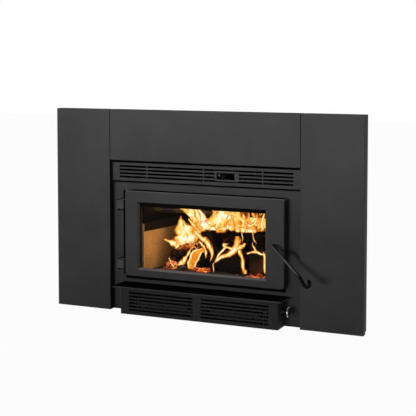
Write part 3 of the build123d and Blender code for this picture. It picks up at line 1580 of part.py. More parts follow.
with BuildPart() as shaft_bushes:
    for sign in (-1, 1):
        middle_x = sign * (bearing_x + bearing_sheet / 2)
        with BuildSketch(side_plane(middle_x - bush_half_length, fan_y, fan_z)):
            Circle(bush_radius)
            Circle(shaft_radius + running_clearance, mode=Mode.SUBTRACT)
        extrude(amount=2 * bush_half_length)
shaft_bushes.part.label = "shaft_bushes"
export_step(shaft_bushes.part, "parts/shaft_bushes.step")

# ---------------------------------------------------------------- speed control
neck_end_x = blower_half_width + speed_neck_length
knob_start_x = neck_end_x + knob_gap
knob_disc_x = knob_start_x + knob_hub_length
knob_end_x = knob_disc_x + knob_disc_thickness
shaft_end_x = knob_start_x + knob_socket_depth
with BuildPart() as speed_control:
    with BuildSketch(side_plane(wall_x, fan_y, speed_z)):
        Circle(speed_body_radius)
    extrude(amount=-speed_body_length)
    fillet(
        speed_control.edges().filter_by(GeomType.CIRCLE).group_by(Axis.X)[0], blower_fold_radius
    )
    with BuildSketch(side_plane(wall_x, fan_y, speed_z)):
        Circle(speed_neck_radius)
    extrude(amount=neck_end_x - wall_x)
    with BuildSketch(side_plane(blower_half_width, fan_y, speed_z)):
        RegularPolygon(speed_nut_flats / 2, 6, major_radius=False)
    extrude(amount=speed_nut_height)
    with BuildSketch(side_plane(neck_end_x, fan_y, speed_z)):
        Circle(shaft_radius + running_clearance)
    extrude(
        amount=-(neck_end_x - wall_x + speed_body_length - blower_fold_radius), mode=Mode.SUBTRACT
    )
speed_control.part.label = "speed_control"
export_step(speed_control.part, "parts/speed_control.step")

with BuildPart() as control_shaft:
    shaft_start_x = wall_x - speed_body_length + blower_fold_radius + knob_gap
    with BuildSketch(side_plane(shaft_start_x, fan_y, speed_z)):
        Circle(shaft_radius)
    extrude(amount=shaft_end_x - shaft_start_x)
control_shaft.part.label = "control_shaft"
export_step(control_shaft.part, "parts/control_shaft.step")

with BuildPart() as speed_knob:
    with BuildSketch(side_plane(knob_start_x, fan_y, speed_z)):
        Circle(knob_hub_radius)
    extrude(amount=knob_hub_length)
    with BuildSketch(side_plane(knob_disc_x, fan_y, speed_z)):
        Circle(knob_disc_radius)
        with PolarLocations(knob_disc_radius + knob_flute_radius / 4, knob_flute_count):
            Circle(knob_flute_radius, mode=Mode.SUBTRACT)
    extrude(amount=knob_disc_thickness)
    # pointer groove across the face
    with BuildSketch(side_plane(knob_end_x, fan_y, speed_z)):
        with Locations((0, knob_disc_radius / 2)):
            Rectangle(knob_pointer_width, knob_pointer_length)
    extrude(amount=-knob_pointer_width, mode=Mode.SUBTRACT)
    with BuildSketch(side_plane(knob_start_x, fan_y, speed_z)):
        Circle(shaft_radius)
    extrude(amount=knob_socket_depth, mode=Mode.SUBTRACT)
speed_knob.part.label = "speed_knob"
export_step(speed_knob.part, "parts/speed_knob.step")

with BuildPart() as cord_gland:
    with BuildSketch(side_plane(-blower_half_width, gland_y, gland_rise)):
        Circle(gland_radius + gland_flange_width)
    extrude(amount=-gland_flange)
    with BuildSketch(side_plane(-blower_half_width, gland_y, gland_rise)):
        Circle(gland_radius)
    extrude(amount=blower_sheet + tray_clearance)
    with BuildSketch(side_plane(-blower_half_width - gland_flange, gland_y, gland_rise)):
        Circle(gland_bore_radius)
    extrude(amount=gland_flange + blower_sheet + tray_clearance, mode=Mode.SUBTRACT)
cord_gland.part.label = "cord_gland"
export_step(cord_gland.part, "parts/cord_gland.step")
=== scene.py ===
"""Finishes and dressing of the wood-burning fireplace insert, laid out as a Blender add-on."""

import json
from math import radians

import bmesh
import bpy
import numpy as np
from mathutils import Euler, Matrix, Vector


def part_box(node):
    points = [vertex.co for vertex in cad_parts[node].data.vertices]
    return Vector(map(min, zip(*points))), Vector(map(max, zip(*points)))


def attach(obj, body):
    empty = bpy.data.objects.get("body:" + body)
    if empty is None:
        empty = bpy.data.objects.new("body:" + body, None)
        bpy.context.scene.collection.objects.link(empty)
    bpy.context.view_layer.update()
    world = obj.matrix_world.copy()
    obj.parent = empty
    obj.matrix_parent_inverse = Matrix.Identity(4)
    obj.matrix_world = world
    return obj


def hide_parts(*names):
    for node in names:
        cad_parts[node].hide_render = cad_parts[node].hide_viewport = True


bl_info = {
    "name": "Fireplace insert dressing",
    "version": (1, 0, 0),
    "blender": (4, 5, 0),
    "location": "View3D > Sidebar > Hearth",
    "description": "Paints the insert's steel, lays its log fire and sets up the studio",
    "category": "Object",
}

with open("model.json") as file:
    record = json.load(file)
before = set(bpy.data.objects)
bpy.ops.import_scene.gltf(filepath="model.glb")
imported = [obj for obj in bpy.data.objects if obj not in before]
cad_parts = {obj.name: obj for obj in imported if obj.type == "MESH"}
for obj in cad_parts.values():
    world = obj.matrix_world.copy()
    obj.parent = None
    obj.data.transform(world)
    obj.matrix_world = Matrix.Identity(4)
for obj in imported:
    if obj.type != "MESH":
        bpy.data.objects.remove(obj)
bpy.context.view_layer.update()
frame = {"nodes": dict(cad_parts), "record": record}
# the body that each node rides on
BODY_OF = {
    node: body
    for body, nodes in frame["record"]["behaviour"]["bodies"].items()
    for node in nodes
}
# the floor brick's front edge and top, and the face of the back brick
FLOOR_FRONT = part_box("floor_bricks")[0].y
FLOOR_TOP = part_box("floor_bricks")[1].z
BACK_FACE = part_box("back_bricks")[0].y

# the photograph's camera: its place in metres, how far it looks down and how far round, in degrees
EYE = (1.59612, -3.58594, 0.95770)
PITCH = 3.595
TURN = 23.865
# its lens and sensor in millimetres, the lens's shift in picture heights and the picture in pixels
LENS = 93.124
SENSOR = 36.0
LENS_SHIFT = -0.20
PHOTO_SIZE = 416
LOOK = Euler((radians(90 - PITCH), 0, radians(TURN)), "XYZ")  # the way it is turned

# painted shadow lines and painted shade on the paint, and a band of painted shade on the glass, in metres
GRILLE_LINE = 0.005  # how far the painted shade behind the grille reaches under it, as a painted shadow
PANEL_LINE = 0.007  # height of the one under the top panel
DOOR_LINE = 0.014  # height of the one under the door, and how far it passes the door's left edge
DOOR_LINE_STOP = 0.008  # how far it stops before the door's right edge
UPRIGHT_LEFT = 0.025  # the left side of the line beside the door, from the door's left edge
UPRIGHT_RIGHT = 0.018  # its right side
UPRIGHT_STOP = 0.005  # how far it stops below the door's top
BLOCK_LINE = 0.011  # height of the one under a hinge block
BLOCK_LINE_LEFT = 0.010  # how far it passes the block's left side
BLOCK_LINE_STOP = 0.014  # how far it stops before the block's right side
LINE_FADE = 0.0025  # the margin over which a line fades
GLASS_BAND = 0.012  # height of the painted shade band at the top of the glass
BAND_FADE = 0.002  # the margin over which the band fades

# handle and speed knob, in metres
CURL_MIDDLE = (-0.022, 0.012, 0.020)  # from the rod's rightmost, foremost and lowest points
CURL_REACH = 0.075  # how far the black round the curl reaches
DISC_THICKNESS = 0.0055  # the knob's bright disc

# a CAD copy's points this near, in metres, are merged, and its edges above this angle stay crisp
CAD_SEAM = 2e-6
CREASE = 32.0
# a new piece's points this near are merged, and edges this short are taken out
SEAM = 1e-6
SLIVER = 1e-7

# log ends, in metres from the end: rows of a domed cap, their share of the radius, the first ring
# of bark, the number of rings and of sides, and the length and width of a charcoal block
CAP_ROWS = np.array([-0.004, -0.003, -0.001, 0.0, 0.002])
CAP_SHARES = np.array([0, 0.4, 0.75, 0.92, 0.975])
BARK_START = 0.006
BARK_ROWS = 46
BARK_SIDES = 40
CHAR_LENGTH = 0.016
CHAR_WIDTH = 0.011

# ember bed, in metres
ASH_DEPTH = 0.0046  # the least ash over the floor brick
RIM_JOINT = 0.0003  # the joint under the bed's rim
END_GAP = 0.004  # the gaps before and behind the bed
SIDE_GAP = 0.002  # the gaps beside it
BRICK_TAPER = 0.2126  # how far a side brick opens for each metre forwards
LEFT_FOOT = -0.225  # about the left wall's foot, where the bed is lowest
LEFT_SLOPE = 0.06  # how far from there the bed reaches its full height
LEAST_SHARE = 0.1  # the share of its height that is left at the foot
BED_LUMPS = ((0.035, 31, 0.005), (0.011, 32, 0.002))  # size, seed and height of each kind

# coals, in metres
COAL_COUNT = 330
COAL_RINGS = 5
COAL_SIDES = 7
COAL_ACROSS = (-0.19, 0.21)  # where they lie across
COAL_DEPTHS = (0.008, 0.33)  # and in depth
LOG_ACROSS = (-0.005, 0.16)  # the front log's foot across
LOG_DEPTH = 0.10  # and how far back it reaches
BEHIND_LOG = (0.11, 0.33)  # depths where its coals go instead
COAL_SIZES = (0.005, 0.0115)  # half a coal's width
COAL_STRETCH = np.array([1.5, 1.0, 0.8])  # its shares along, across and up
COAL_WEAR = (0.72, 1.2)  # factors that move each of its points in or out
COAL_RISE = 0.5  # how far its middle stands over the bed, as a share of half its height
COAL_CREASE = 50  # degrees above which its edges stay crisp

# flames, in metres
PIXEL_AT_FIRE = 0.0041  # a pixel's width in the firebox
THINNEST_FLAME = 0.003
MILLIMETRE = 0.001
FLAMES_FACE = np.array((0.38, -0.92, 0.05))  # the way that they face
FLAME_PULSE = 0.35  # how far a flame's width wanders, as a share of it
FLAME_BEND = 0.25  # its curl and its ripples, as shares of its width
WIDEST_BEND = 0.05  # the width past which these grow no more
TIP_SWAY = 0.006  # how far its tip sways
GLOW_COLOUR = (1.0, 0.56, 0.24)  # the lamps among the logs
GLOW_RADIUS = 0.04

# studio: how far the floor lies under the insert in metres, the share of plain white that it shows,
# and each lamp's name, place and aim in metres, multiple of the key power, radius, and degrees of
# its cone
FLOOR_DROP = 0.0005
PLAIN_SHARE = 0.97
SPOTS = (
    ("key", (-3.0, -11.5, 1.5), (-0.35, 0, 4.2), 8.4, 3.2, 38),
    ("side", (-9.6, -7.5, 4.6), (0.2, 0, 0.5), 0.13, 0.9, 13),
    ("edge", (9.0, -5.0, 2.0), (0.0, 0, 0.4), 0.045, 0.7, 13),
)


# ---------------------------------------------------------------- settings
# what every colour setting has in common
COLOUR = {"subtype": "COLOR", "size": 3, "min": 0, "max": 1}


class PaintSettings(bpy.types.PropertyGroup):
    """Stove paint on the surround, door, grille and blower cover."""

    colour: bpy.props.FloatVectorProperty(
        name="Paint colour", description="Colour of the matte stove paint",
        default=(0.040, 0.040, 0.041), **COLOUR,
    )
    mottling: bpy.props.FloatProperty(
        name="Mottling", description="How far the paint's tone wanders over a panel",
        subtype="FACTOR", min=0, max=1, default=0.22,
    )
    grain: bpy.props.FloatProperty(
        name="Grain", description="Size of the sprayed paint's texture",
        unit="LENGTH", min=0.0002, max=0.01, default=0.0011,
    )


class MetalSettings(bpy.types.PropertyGroup):
    """Bare and plated metals."""

    rod_colour: bpy.props.FloatVectorProperty(
        name="Handle", description="Colour of the brushed steel handle",
        default=(0.032, 0.032, 0.034), **COLOUR,
    )
    knob_colour: bpy.props.FloatVectorProperty(
        name="Knobs", description="Colour of the turned knobs",
        default=(0.22, 0.22, 0.215), **COLOUR,
    )
    casing_colour: bpy.props.FloatVectorProperty(
        name="Casing", description="Colour of the galvanised casing",
        default=(0.47, 0.49, 0.50), **COLOUR,
    )
    firebox_colour: bpy.props.FloatVectorProperty(
        name="Firebox", description="Colour of the heat-darkened firebox plate",
        default=(0.006, 0.0048, 0.004), **COLOUR,
    )


class LiningSettings(bpy.types.PropertyGroup):
    """Refractory lining."""

    brick_colour: bpy.props.FloatVectorProperty(
        name="Brick", description="Colour of clean firebrick",
        default=(0.56, 0.36, 0.16), **COLOUR,
    )
    darkening_start: bpy.props.FloatProperty(
        name="Soot start", description="Depth at which soot begins to darken the brick",
        unit="LENGTH", min=-0.1, max=0.5, default=0.03,
    )
    darkening_depth: bpy.props.FloatProperty(
        name="Soot fade", description="Depth over which the soot grows to its full tone",
        unit="LENGTH", min=0.01, max=1, default=0.24,
    )


class FireSettings(bpy.types.PropertyGroup):
    """Logs, embers and flames."""

    core_colour: bpy.props.FloatVectorProperty(
        name="Flame core", description="Hottest flame colour",
        default=(1.0, 0.95, 0.74), **COLOUR,
    )
    edge_colour: bpy.props.FloatVectorProperty(
        name="Flame edge", description="Coolest flame colour",
        default=(0.42, 0.05, 0.002), **COLOUR,
    )
    ember_colour: bpy.props.FloatVectorProperty(
        name="Ember", description="Colour of the glowing cracks",
        default=(1.0, 0.17, 0.02), **COLOUR,
    )
    strength: bpy.props.FloatProperty(
        name="Flame strength", description="Brightness of the flames",
        min=0, max=20, default=1.12,
    )
    glow_power: bpy.props.FloatProperty(
        name="Glow", description="Power of the warm lamps among the logs",
        subtype="POWER", min=0, max=200, default=0.45,
    )


class StageSettings(bpy.types.PropertyGroup):
    """Studio floor, lamps and lens."""

    lens: bpy.props.FloatProperty(
        name="Lens", description="Focal length in millimetres on a 36 mm sensor",
        min=10, max=300, default=LENS,
    )
    floor_size: bpy.props.FloatProperty(
        name="Floor", description="Width of the studio floor",
        unit="LENGTH", min=2, max=60, default=24.0,
    )
    key_power: bpy.props.FloatProperty(
        name="Key", description="Power of the low key lamp at the left",
        subtype="POWER", min=0, max=50000, default=6800.0,
    )
    fill_level: bpy.props.FloatProperty(
        name="Fill", description="Strength of the even light all round",
        min=0, max=5, default=0.18,
    )


SETTINGS = {
    "hearth_paint": PaintSettings,
    "hearth_metal": MetalSettings,
    "hearth_lining": LiningSettings,
    "hearth_fire": FireSettings,
    "hearth_stage": StageSettings,
}


# ---------------------------------------------------------------- finishes
class Finish:
    """A node material, with one short method for each kind of node the insert's finishes use."""

    def __init__(self, name, colour, roughness, metallic=0.0, gloss=0.5):
        """A plain surface to begin with."""
        self.material = bpy.data.materials.new(name)
        self.material.use_nodes = True
        self.nodes = self.material.node_tree.nodes
        self.links = self.material.node_tree.links
        self.shader = self.nodes["Principled BSDF"]
        self.set("Base Color", (*colour, 1))
        self.set("Roughness", roughness)
        self.set("Metallic", metallic)
        self.set("Specular IOR Level", gloss)

    def set(self, socket, value):
        """Sets a socket of the main shader, or joins it to another node's output."""
        self.feed(self.shader.inputs[socket], value)

    def tint(self, value, *stops):
        """Base colour, which follows a number where stops are given."""
        self.set("Base Color", self.ramp(value, *stops) if stops else value)

    def rough(self, value, *stops):
        """Roughness, which follows a number where stops are given."""
        self.set("Roughness", self.ramp(value, *stops) if stops else value)

    def glow(self, colour, strength):
        """The surface's own light, which isn't sampled as a lamp."""
        self.set("Emission Color", colour)
        self.set("Emission Strength", strength)
        self.material.cycles.emission_sampling = "NONE"

    def show(self, shader):
        """Makes another shader the one that shows."""
        output = next(node for node in self.nodes if node.type == "OUTPUT_MATERIAL")
        self.links.new(shader, output.inputs[0])

    def feed(self, socket, value):
        """Gives a socket a number or colour, or joins it to an output."""
        if isinstance(value, bpy.types.NodeSocket):
            self.links.new(value, socket)
        elif value is not None:
            socket.default_value = value

    def add(self, kind, output, inputs=(), **settings):
        """Adds a node, sets its options and inputs and gives one of its outputs."""
        node = self.nodes.new(kind)
        for key, value in settings.items():
            setattr(node, key, value)
        for key, value in dict(inputs).items():
            self.feed(node.inputs[key], value)
        return node.outputs[output]

    def place(self, scale=(1, 1, 1), shift=(0, 0, 0), turn=(0, 0, 0), source="Object"):
        """The surface's own coordinates, stretched, moved or turned by a Mapping node."""
        coordinates = self.add("ShaderNodeTexCoord", source)
        return self.add(
            "ShaderNodeMapping", 0,
            {"Vector": coordinates, "Scale": scale, "Location": shift, "Rotation": turn},
        )

    def axis(self, letter, vector):
        """One coordinate of a vector."""
        return self.add("ShaderNodeSeparateXYZ", letter, {0: vector})

    def facing(self):
        """The way the surface faces."""
        return self.add("ShaderNodeNewGeometry", "Normal")

    def noise(self, scale, detail=3.0, rough=0.55, vector=None, swirl=0.0):
        """Cloudy noise, as a number from 0 to 1."""
        vector = vector or self.place()
        return self.add(
            "ShaderNodeTexNoise", "Fac",
            {"Vector": vector, "Scale": scale, "Detail": detail, "Roughness": rough,
             "Distortion": swirl},
        )

    def cells(self, scale, vector=None, feature="F1", output="Distance"):
        """Voronoi cells."""
        vector = vector or self.place()
        return self.add(
            "ShaderNodeTexVoronoi", output, {"Vector": vector, "Scale": scale}, feature=feature
        )

    def rings(self, scale, swirl, detail):
        """Waves that run along the X axis."""
        inputs = {"Vector": self.place(), "Scale": scale, "Distortion": swirl, "Detail": detail}
        return self.add("ShaderNodeTexWave", "Fac", inputs, bands_direction="X")

    def ramp(self, value, *stops):
        """Colours along a number, each stop a place and a grey level or a colour."""
        node = self.nodes.new("ShaderNodeValToRGB")
        points = node.color_ramp.elements
        while len(points) < len(stops):
            points.new(0.5)
        for point, (place, tone) in zip(points, stops):
            point.position = place
            point.color = opaque(tone)
        self.feed(node.inputs[0], value)
        return node.outputs[0]

    def math(self, operation, a, b=0.0, c=0.0, clamp=False):
        """One step of arithmetic."""
        return self.add(
            "ShaderNodeMath", 0, {0: a, 1: b, 2: c}, operation=operation, use_clamp=clamp
        )

    def times(self, a, b, clamp=False):
        """The product of two numbers."""
        return self.math("MULTIPLY", a, b, clamp=clamp)

    def line(self, value, slope, start, clamp=False):
        """Value times slope plus start."""
        return self.math("MULTIPLY_ADD", value, slope, start, clamp)

    def most(self, a, b):
        """The larger of two numbers."""
        return self.math("MAXIMUM", a, b)

    def blend(self, factor, a, b, mode="MIX"):
        """Two colours or grey levels mixed."""
        node = self.nodes.new("ShaderNodeMix")
        node.data_type = "RGBA"
        node.blend_type = mode
        self.feed(node.inputs[0], factor)
        for socket, tone in zip(node.inputs[6:8], (a, b)):
            self.feed(socket, tone if isinstance(tone, bpy.types.NodeSocket) else opaque(tone))
        return node.outputs[2]

    def shaded(self, tone, value, *stops):
        """A colour multiplied by the grey levels along a number."""
        return self.blend(1.0, tone, self.ramp(value, *stops), "MULTIPLY")

    def near(self, *spots):
        """1 at any of the spots, falling evenly to 0 at each one's reach in metres."""
        place, best = self.place(), 0.0
        for spot, reach in spots:
            away = self.add(
                "ShaderNodeVectorMath", "Value", {0: place, 1: spot}, operation="DISTANCE"
            )
            best = self.most(self.line(away, -1 / reach, 1.0, clamp=True), best)
        return best

    def inside(self, low, high, fade):
        """1 inside an upright rectangle seen from the front, falling to 0 over a margin round it."""
        place, share = self.place(), 1.0
        for number, letter in ((0, "X"), (2, "Z")):
            middle, half = (low[number] + high[number]) / 2, (high[number] - low[number]) / 2
            away = self.math("SUBTRACT", self.axis(letter, place), middle)
            away = self.math("ABSOLUTE", away)
            share = self.times(share, self.line(away, -1 / fade, (half + fade) / fade, clamp=True))
        return share

    def bump(self, height, distance, strength, under=None):
        """Relief of the given depth in metres, on top of another relief."""
        normal = self.add(
            "ShaderNodeBump", 0,
            {"Height": height, "Distance": distance, "Strength": strength, "Normal": under},
        )
        self.set("Normal", normal)
        return normal


def opaque(tone):
    """A colour or a grey level with full alpha."""
    return (*tone, 1) if hasattr(tone, "__len__") else (tone, tone, tone, 1)


def toned(colour, factor):
    """A colour made lighter or darker by one factor."""
    return tuple(min(1.0, channel * factor) for channel in colour)


def stove_paint(settings, name="stove_paint", level=1.0, painted_shade_patches=(), sides=0.0):
    """Sprayed high-temperature paint: mottling, fine grain, bevels that tilt upwards made lighter
    (dusty paint and a painted highlight), and painted shade, black, on faces that look up or down.

    Painted shade patches, each a lowest and a highest corner, are black: painted shadows under the
    grille, the door and the hinges, and painted shade behind the grille. Sides is the share of
    painted shade on faces that look straight to the left or right.
    """
    colour = toned(settings.colour, level)
    paint = Finish(name, colour, 0.6)
    broad = paint.noise(4.5, 3, 0.6)
    fine = paint.noise(0.45 / settings.grain, 2, 0.6)
    dull, bright = toned(colour, 1 - settings.mottling), toned(colour, 1 + settings.mottling)
    tone = paint.ramp(broad, (0.3, dull), (0.7, bright))
    tone = paint.shaded(tone, fine, (0.35, 0.86), (0.65, 1.0))
    upward = paint.axis("Z", paint.facing())
    # bevels that tilt upwards are made lighter: a painted highlight, and dusty paint
    dust_and_painted_light = paint.ramp(upward, (0.3, 0.0), (0.6, 0.8), (0.8, 0.8), (0.9, 0.0))
    tone = paint.blend(dust_and_painted_light, tone, toned(colour, 4.0))
    # painted shade: faces that look up or down go black
    soot = paint.ramp(upward, (0.80, 0.0), (0.98, 0.95))
    soot = paint.most(soot, paint.ramp(paint.times(upward, -1.0), (0.3, 0.0), (0.6, 0.9)))
    # painted shade: faces that look straight left or right go partly black
    if sides:
        sideways = paint.math("ABSOLUTE", paint.axis("X", paint.facing()))
        soot = paint.most(soot, paint.ramp(sideways, (0.80, 0.0), (0.95, sides)))
    # painted shadows and painted shade inside the given rectangles
    for low, high in painted_shade_patches:
        soot = paint.most(soot, paint.inside(low, high, LINE_FADE))
    paint.tint(paint.blend(soot, tone, 0.0012))
    paint.rough(paint.most(paint.ramp(broad, (0.25, 0.52), (0.75, 0.62)), soot))
    # the painted shade also loses its sheen
    paint.set("Specular IOR Level", paint.line(soot, -0.08, 0.08))
    paint.bump(fine, 0.00006, 0.6)
    return paint.material


def plate_painted_shade():
    """Painted shade behind the grille; painted shadows under and beside the door, under each hinge block.

    Each line is the lowest and the highest corner of an upright rectangle.
    """
    grille_low, grille_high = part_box("top_grille")
    door_low, door_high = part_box("door_frame")
    block_low, block_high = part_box("hinge_blocks")
    left, right = door_low.x, door_high.x
    # each rectangle is painted shade behind the grille or a painted shadow by the door
    lines = [
        ((grille_low.x, 0, grille_low.z - GRILLE_LINE), (grille_high.x, 0, grille_high.z)),
        ((left - DOOR_LINE, 0, door_low.z - DOOR_LINE), (right - DOOR_LINE_STOP, 0, door_low.z)),
        ((left - UPRIGHT_LEFT, 0, door_low.z), (left - UPRIGHT_RIGHT, 0, door_high.z - UPRIGHT_STOP)),
    ]
    block_height = block_high.x - block_low.x  # a block is as high as it is wide
    left, right = block_low.x - BLOCK_LINE_LEFT, block_high.x - BLOCK_LINE_STOP
    # a painted shadow under each hinge block
    for foot in (block_low.z, block_high.z - block_height):
        lines.append(((left, 0, foot - BLOCK_LINE), (right, 0, foot)))
    return lines


def galvanised(settings):
    """Zinc spangle: crystal cells of slightly different tone, and painted shade, black, on faces that look
    inwards.
    """
    colour = settings.casing_colour
    zinc = Finish("galvanised_sheet", colour, 0.4, 1.0)
    grey = zinc.add("ShaderNodeRGBToBW", 0, {0: zinc.cells(75, output="Color")})
    tone = zinc.ramp(grey, (0.1, toned(colour, 0.82)), (0.9, toned(colour, 1.12)))
    tone = zinc.blend(zinc.noise(7), tone, toned(colour, 0.86))
    # painted shade: faces that look in towards the casing's middle go black
    from_middle = zinc.place(shift=(0, -0.22, -0.28))
    outward = zinc.add(
        "ShaderNodeVectorMath", "Value", {0: zinc.facing(), 1: from_middle}, operation="DOT_PRODUCT"
    )
    inside = zinc.ramp(outward, (0.0, 1.0), (0.01, 0.0))
    zinc.tint(zinc.blend(inside, tone, 0.006))
    zinc.rough(zinc.most(zinc.ramp(grey, (0.0, 0.32), (1.0, 0.52)), inside))
    zinc.bump(zinc.noise(240, 2), 0.00004, 0.4)
    return zinc.material


def heated_plate(settings):
    """Firebox plate darkened by heat and soot, with patches of brown scale."""
    colour = settings.firebox_colour
    plate = Finish("firebox_steel", colour, 0.72, gloss=0.1)
    patches = plate.noise(9, 5, 0.65, swirl=0.6)
    flakes = plate.noise(70, 4, 0.7)
    tone = plate.ramp(
        patches, (0.35, colour), (0.55, toned(colour, 1.5)), (0.72, (0.015, 0.008, 0.005))
    )
    plate.tint(plate.blend(flakes, toned(colour, 0.6), tone))
    plate.rough(flakes, (0.3, 0.62), (0.7, 0.86))
    plate.bump(flakes, 0.0004, 0.5)
    return plate.material


def tinted_stainless():
    """Stainless steel with bands of straw, brown and blue from the heat."""
    steel = Finish("stainless_steel", (0.08, 0.07, 0.06), 0.5, 1.0)
    steel.tint(
        steel.noise(14, 2, 0.5, swirl=0.8), (0.3, (0.025, 0.020, 0.015)),
        (0.45, (0.055, 0.034, 0.016)), (0.56, (0.022, 0.013, 0.009)),
        (0.66, (0.012, 0.012, 0.016)), (0.8, (0.02, 0.018, 0.016)),
    )
    brush = steel.noise(30, 3, 0.7, steel.place((1, 60, 60)))
    steel.rough(brush, (0.3, 0.42), (0.7, 0.62))
    steel.bump(brush, 0.00003, 0.4)
    return steel.material


def firebrick(settings):
    """Porous tan brick, darker with depth into the firebox, with pits and hairline crazing."""
    colour = settings.brick_colour
    brick = Finish("firebrick", colour, 0.93)
    grit = brick.noise(420, 3, 0.7)
    pits = brick.cells(260)
    crazing = brick.cells(20, feature="DISTANCE_TO_EDGE")
    tone = brick.ramp(
        brick.noise(22, 5, 0.65), (0.28, toned(colour, 0.74)), (0.5, colour), (0.72, toned(colour, 1.22))
    )
    tone = brick.shaded(tone, grit, (0.3, 0.72), (0.6, 1.0))
    tone = brick.shaded(tone, pits, (0.05, 0.4), (0.16, 1.0))
    tone = brick.shaded(tone, crazing, (0.0, 0.55), (0.012, 1.0))
    # the brick grows darker with depth into the firebox, from a ragged start
    depth = brick.math("SUBTRACT", brick.axis("Y", brick.place()), settings.darkening_start)
    depth = brick.math("DIVIDE", depth, settings.darkening_depth, clamp=True)
    ragged = brick.line(brick.noise(11, 4, 0.6), 0.5, -0.25)
    soot = brick.ramp(brick.math("ADD", depth, ragged, clamp=True), (0.05, 0.0), (0.85, 0.88))
    brick.tint(brick.blend(soot, tone, (0.022, 0.018, 0.015)))
    relief = brick.bump(grit, 0.0008, 0.7)
    brick.bump(brick.ramp(pits, (0.04, 0.0), (0.18, 1.0)), 0.0012, 0.8, relief)
    return brick.material


def scaled_strip():
    """Thin steel strip beside the brick, bleached tan by the heat and streaked with scale."""
    strip = Finish("heat_bleached_strip", (0.52, 0.33, 0.17), 0.8, gloss=0.15)
    scale = strip.noise(40, 4, 0.65, strip.place((3, 3, 1)))
    strip.tint(scale, (0.3, (0.55, 0.34, 0.17)), (0.5, (0.80, 0.54, 0.30)), (0.75, (0.86, 0.62, 0.38)))
    strip.bump(scale, 0.0003, 0.5)
    return strip.material


def fibre_board():
    """Pressed fibre board, pale under a coat of soot."""
    board = Finish("fibre_board", (0.16, 0.14, 0.12), 0.96)
    fibres = board.noise(90, 5, 0.75, board.place((1, 4, 1)))
    tone = board.ramp(board.noise(8, 4), (0.35, (0.035, 0.03, 0.027)), (0.75, (0.20, 0.17, 0.14)))
    board.tint(board.shaded(tone, fibres, (0.3, 0.7), (0.7, 1.0)))
    board.bump(fibres, 0.0008, 0.6)
    return board.material


def blackened_zinc():
    """Fixings with a thin black plating, worn in specks."""
    plating = Finish("blackened_fixings", (0.02, 0.02, 0.021), 0.5, 0.8)
    wear = plating.noise(160, 4, 0.7)
    plating.tint(wear, (0.5, (0.018, 0.018, 0.019)), (0.80, (0.11, 0.105, 0.10)))
    plating.rough(wear, (0.3, 0.42), (0.7, 0.62))
    plating.bump(wear, 0.00008, 0.5)
    return plating.material


def brushed_rod(settings, curl):
    """Plated handle rod with a fine brushing and faint heat bloom, black round its curled end."""
    colour = settings.rod_colour
    rod = Finish("handle_steel", colour, 0.3, 1.0)
    scratch = rod.noise(500, 2, 0.8)
    tone = rod.ramp(rod.noise(26, 3), (0.3, toned(colour, 0.8)), (0.7, toned(colour, 1.15)))
    # black round the curled end, fading out over its reach
    curl_black = rod.ramp(rod.near((curl, CURL_REACH)), (0.25, 0.0), (0.6, 0.95))
    rod.tint(rod.blend(curl_black, tone, 0.002))
    rod.rough(scratch, (0.3, 0.18), (0.7, 0.30))
    rod.bump(scratch, 0.00002, 0.4)
    return rod.material


def turned_knob(settings, disc_start):
    """Turned knob with faint lathe rings round the X axis: a black hub, then a bright disc."""
    colour = settings.knob_colour
    knob = Finish("knob_metal", colour, 0.3, 1.0)
    rings = knob.rings(260, 0.6, 1.0)
    smudge = knob.noise(60, 3)
    tone = knob.ramp(smudge, (0.3, toned(colour, 0.85)), (0.7, colour))
    sharpness = 2000.0
    disc = knob.line(knob.axis("X", knob.place()), sharpness, -sharpness * disc_start, clamp=True)
    knob.tint(knob.blend(disc, 0.006, tone))
    knob.rough(smudge, (0.3, 0.22), (0.7, 0.36))
    knob.bump(rings, 0.00003, 0.35)
    return knob.material


def laminated_steel():
    """Motor iron: thin laminations seen edge on, varnished and slightly browned."""
    iron = Finish("motor_steel", (0.17, 0.165, 0.16), 0.45, 0.8)
    # tones kept nearly black: painted shade inside the blower
    iron.tint(iron.noise(45, 3), (0.3, (0.018, 0.015, 0.012)), (0.7, (0.035, 0.034, 0.033)))
    iron.bump(iron.rings(330, 0.0, 2.0), 0.0002, 0.5)
    return iron.material


def cast_aluminium():
    """Impeller aluminium with handling marks, dusty, and made nearly black as painted shade inside the
    blower.
    """
    metal = Finish("impeller_aluminium", (0.2, 0.2, 0.2), 0.5, 1.0)
    dust_and_painted_light = metal.noise(40, 4, 0.7)
    # near-black tones: painted shade inside the blower; the noise gives dusty patches
    metal.tint(dust_and_painted_light, (0.35, 0.030), (0.75, (0.014, 0.013, 0.012)))
    metal.rough(dust_and_painted_light, (0.3, 0.34), (0.7, 0.66))
    metal.bump(metal.noise(300, 2), 0.00005, 0.4)
    return metal.material


def oiled_bronze():
    """Sintered bronze bush with oil in its pores."""
    bronze = Finish("bearing_bronze", (0.42, 0.27, 0.12), 0.4, 1.0)
    pores = bronze.noise(600, 2, 0.8)
    bronze.tint(pores, (0.35, (0.20, 0.12, 0.05)), (0.6, (0.47, 0.31, 0.15)))
    bronze.bump(pores, 0.0001, 0.5)
    return bronze.material


def moulded_plastic(name, colour, roughness, grain):
    """Moulded plastic or rubber with a fine spark-eroded texture and scuffs."""
    moulding = Finish(name, colour, roughness)
    scuff = moulding.noise(50, 4, 0.7)
    moulding.tint(scuff, (0.4, colour), (0.8, toned(colour, 1.7)))
    moulding.rough(scuff, (0.3, roughness - 0.08), (0.7, roughness + 0.1))
    moulding.bump(moulding.noise(grain, 2, 0.7), 0.00008, 0.5)
    return moulding.material


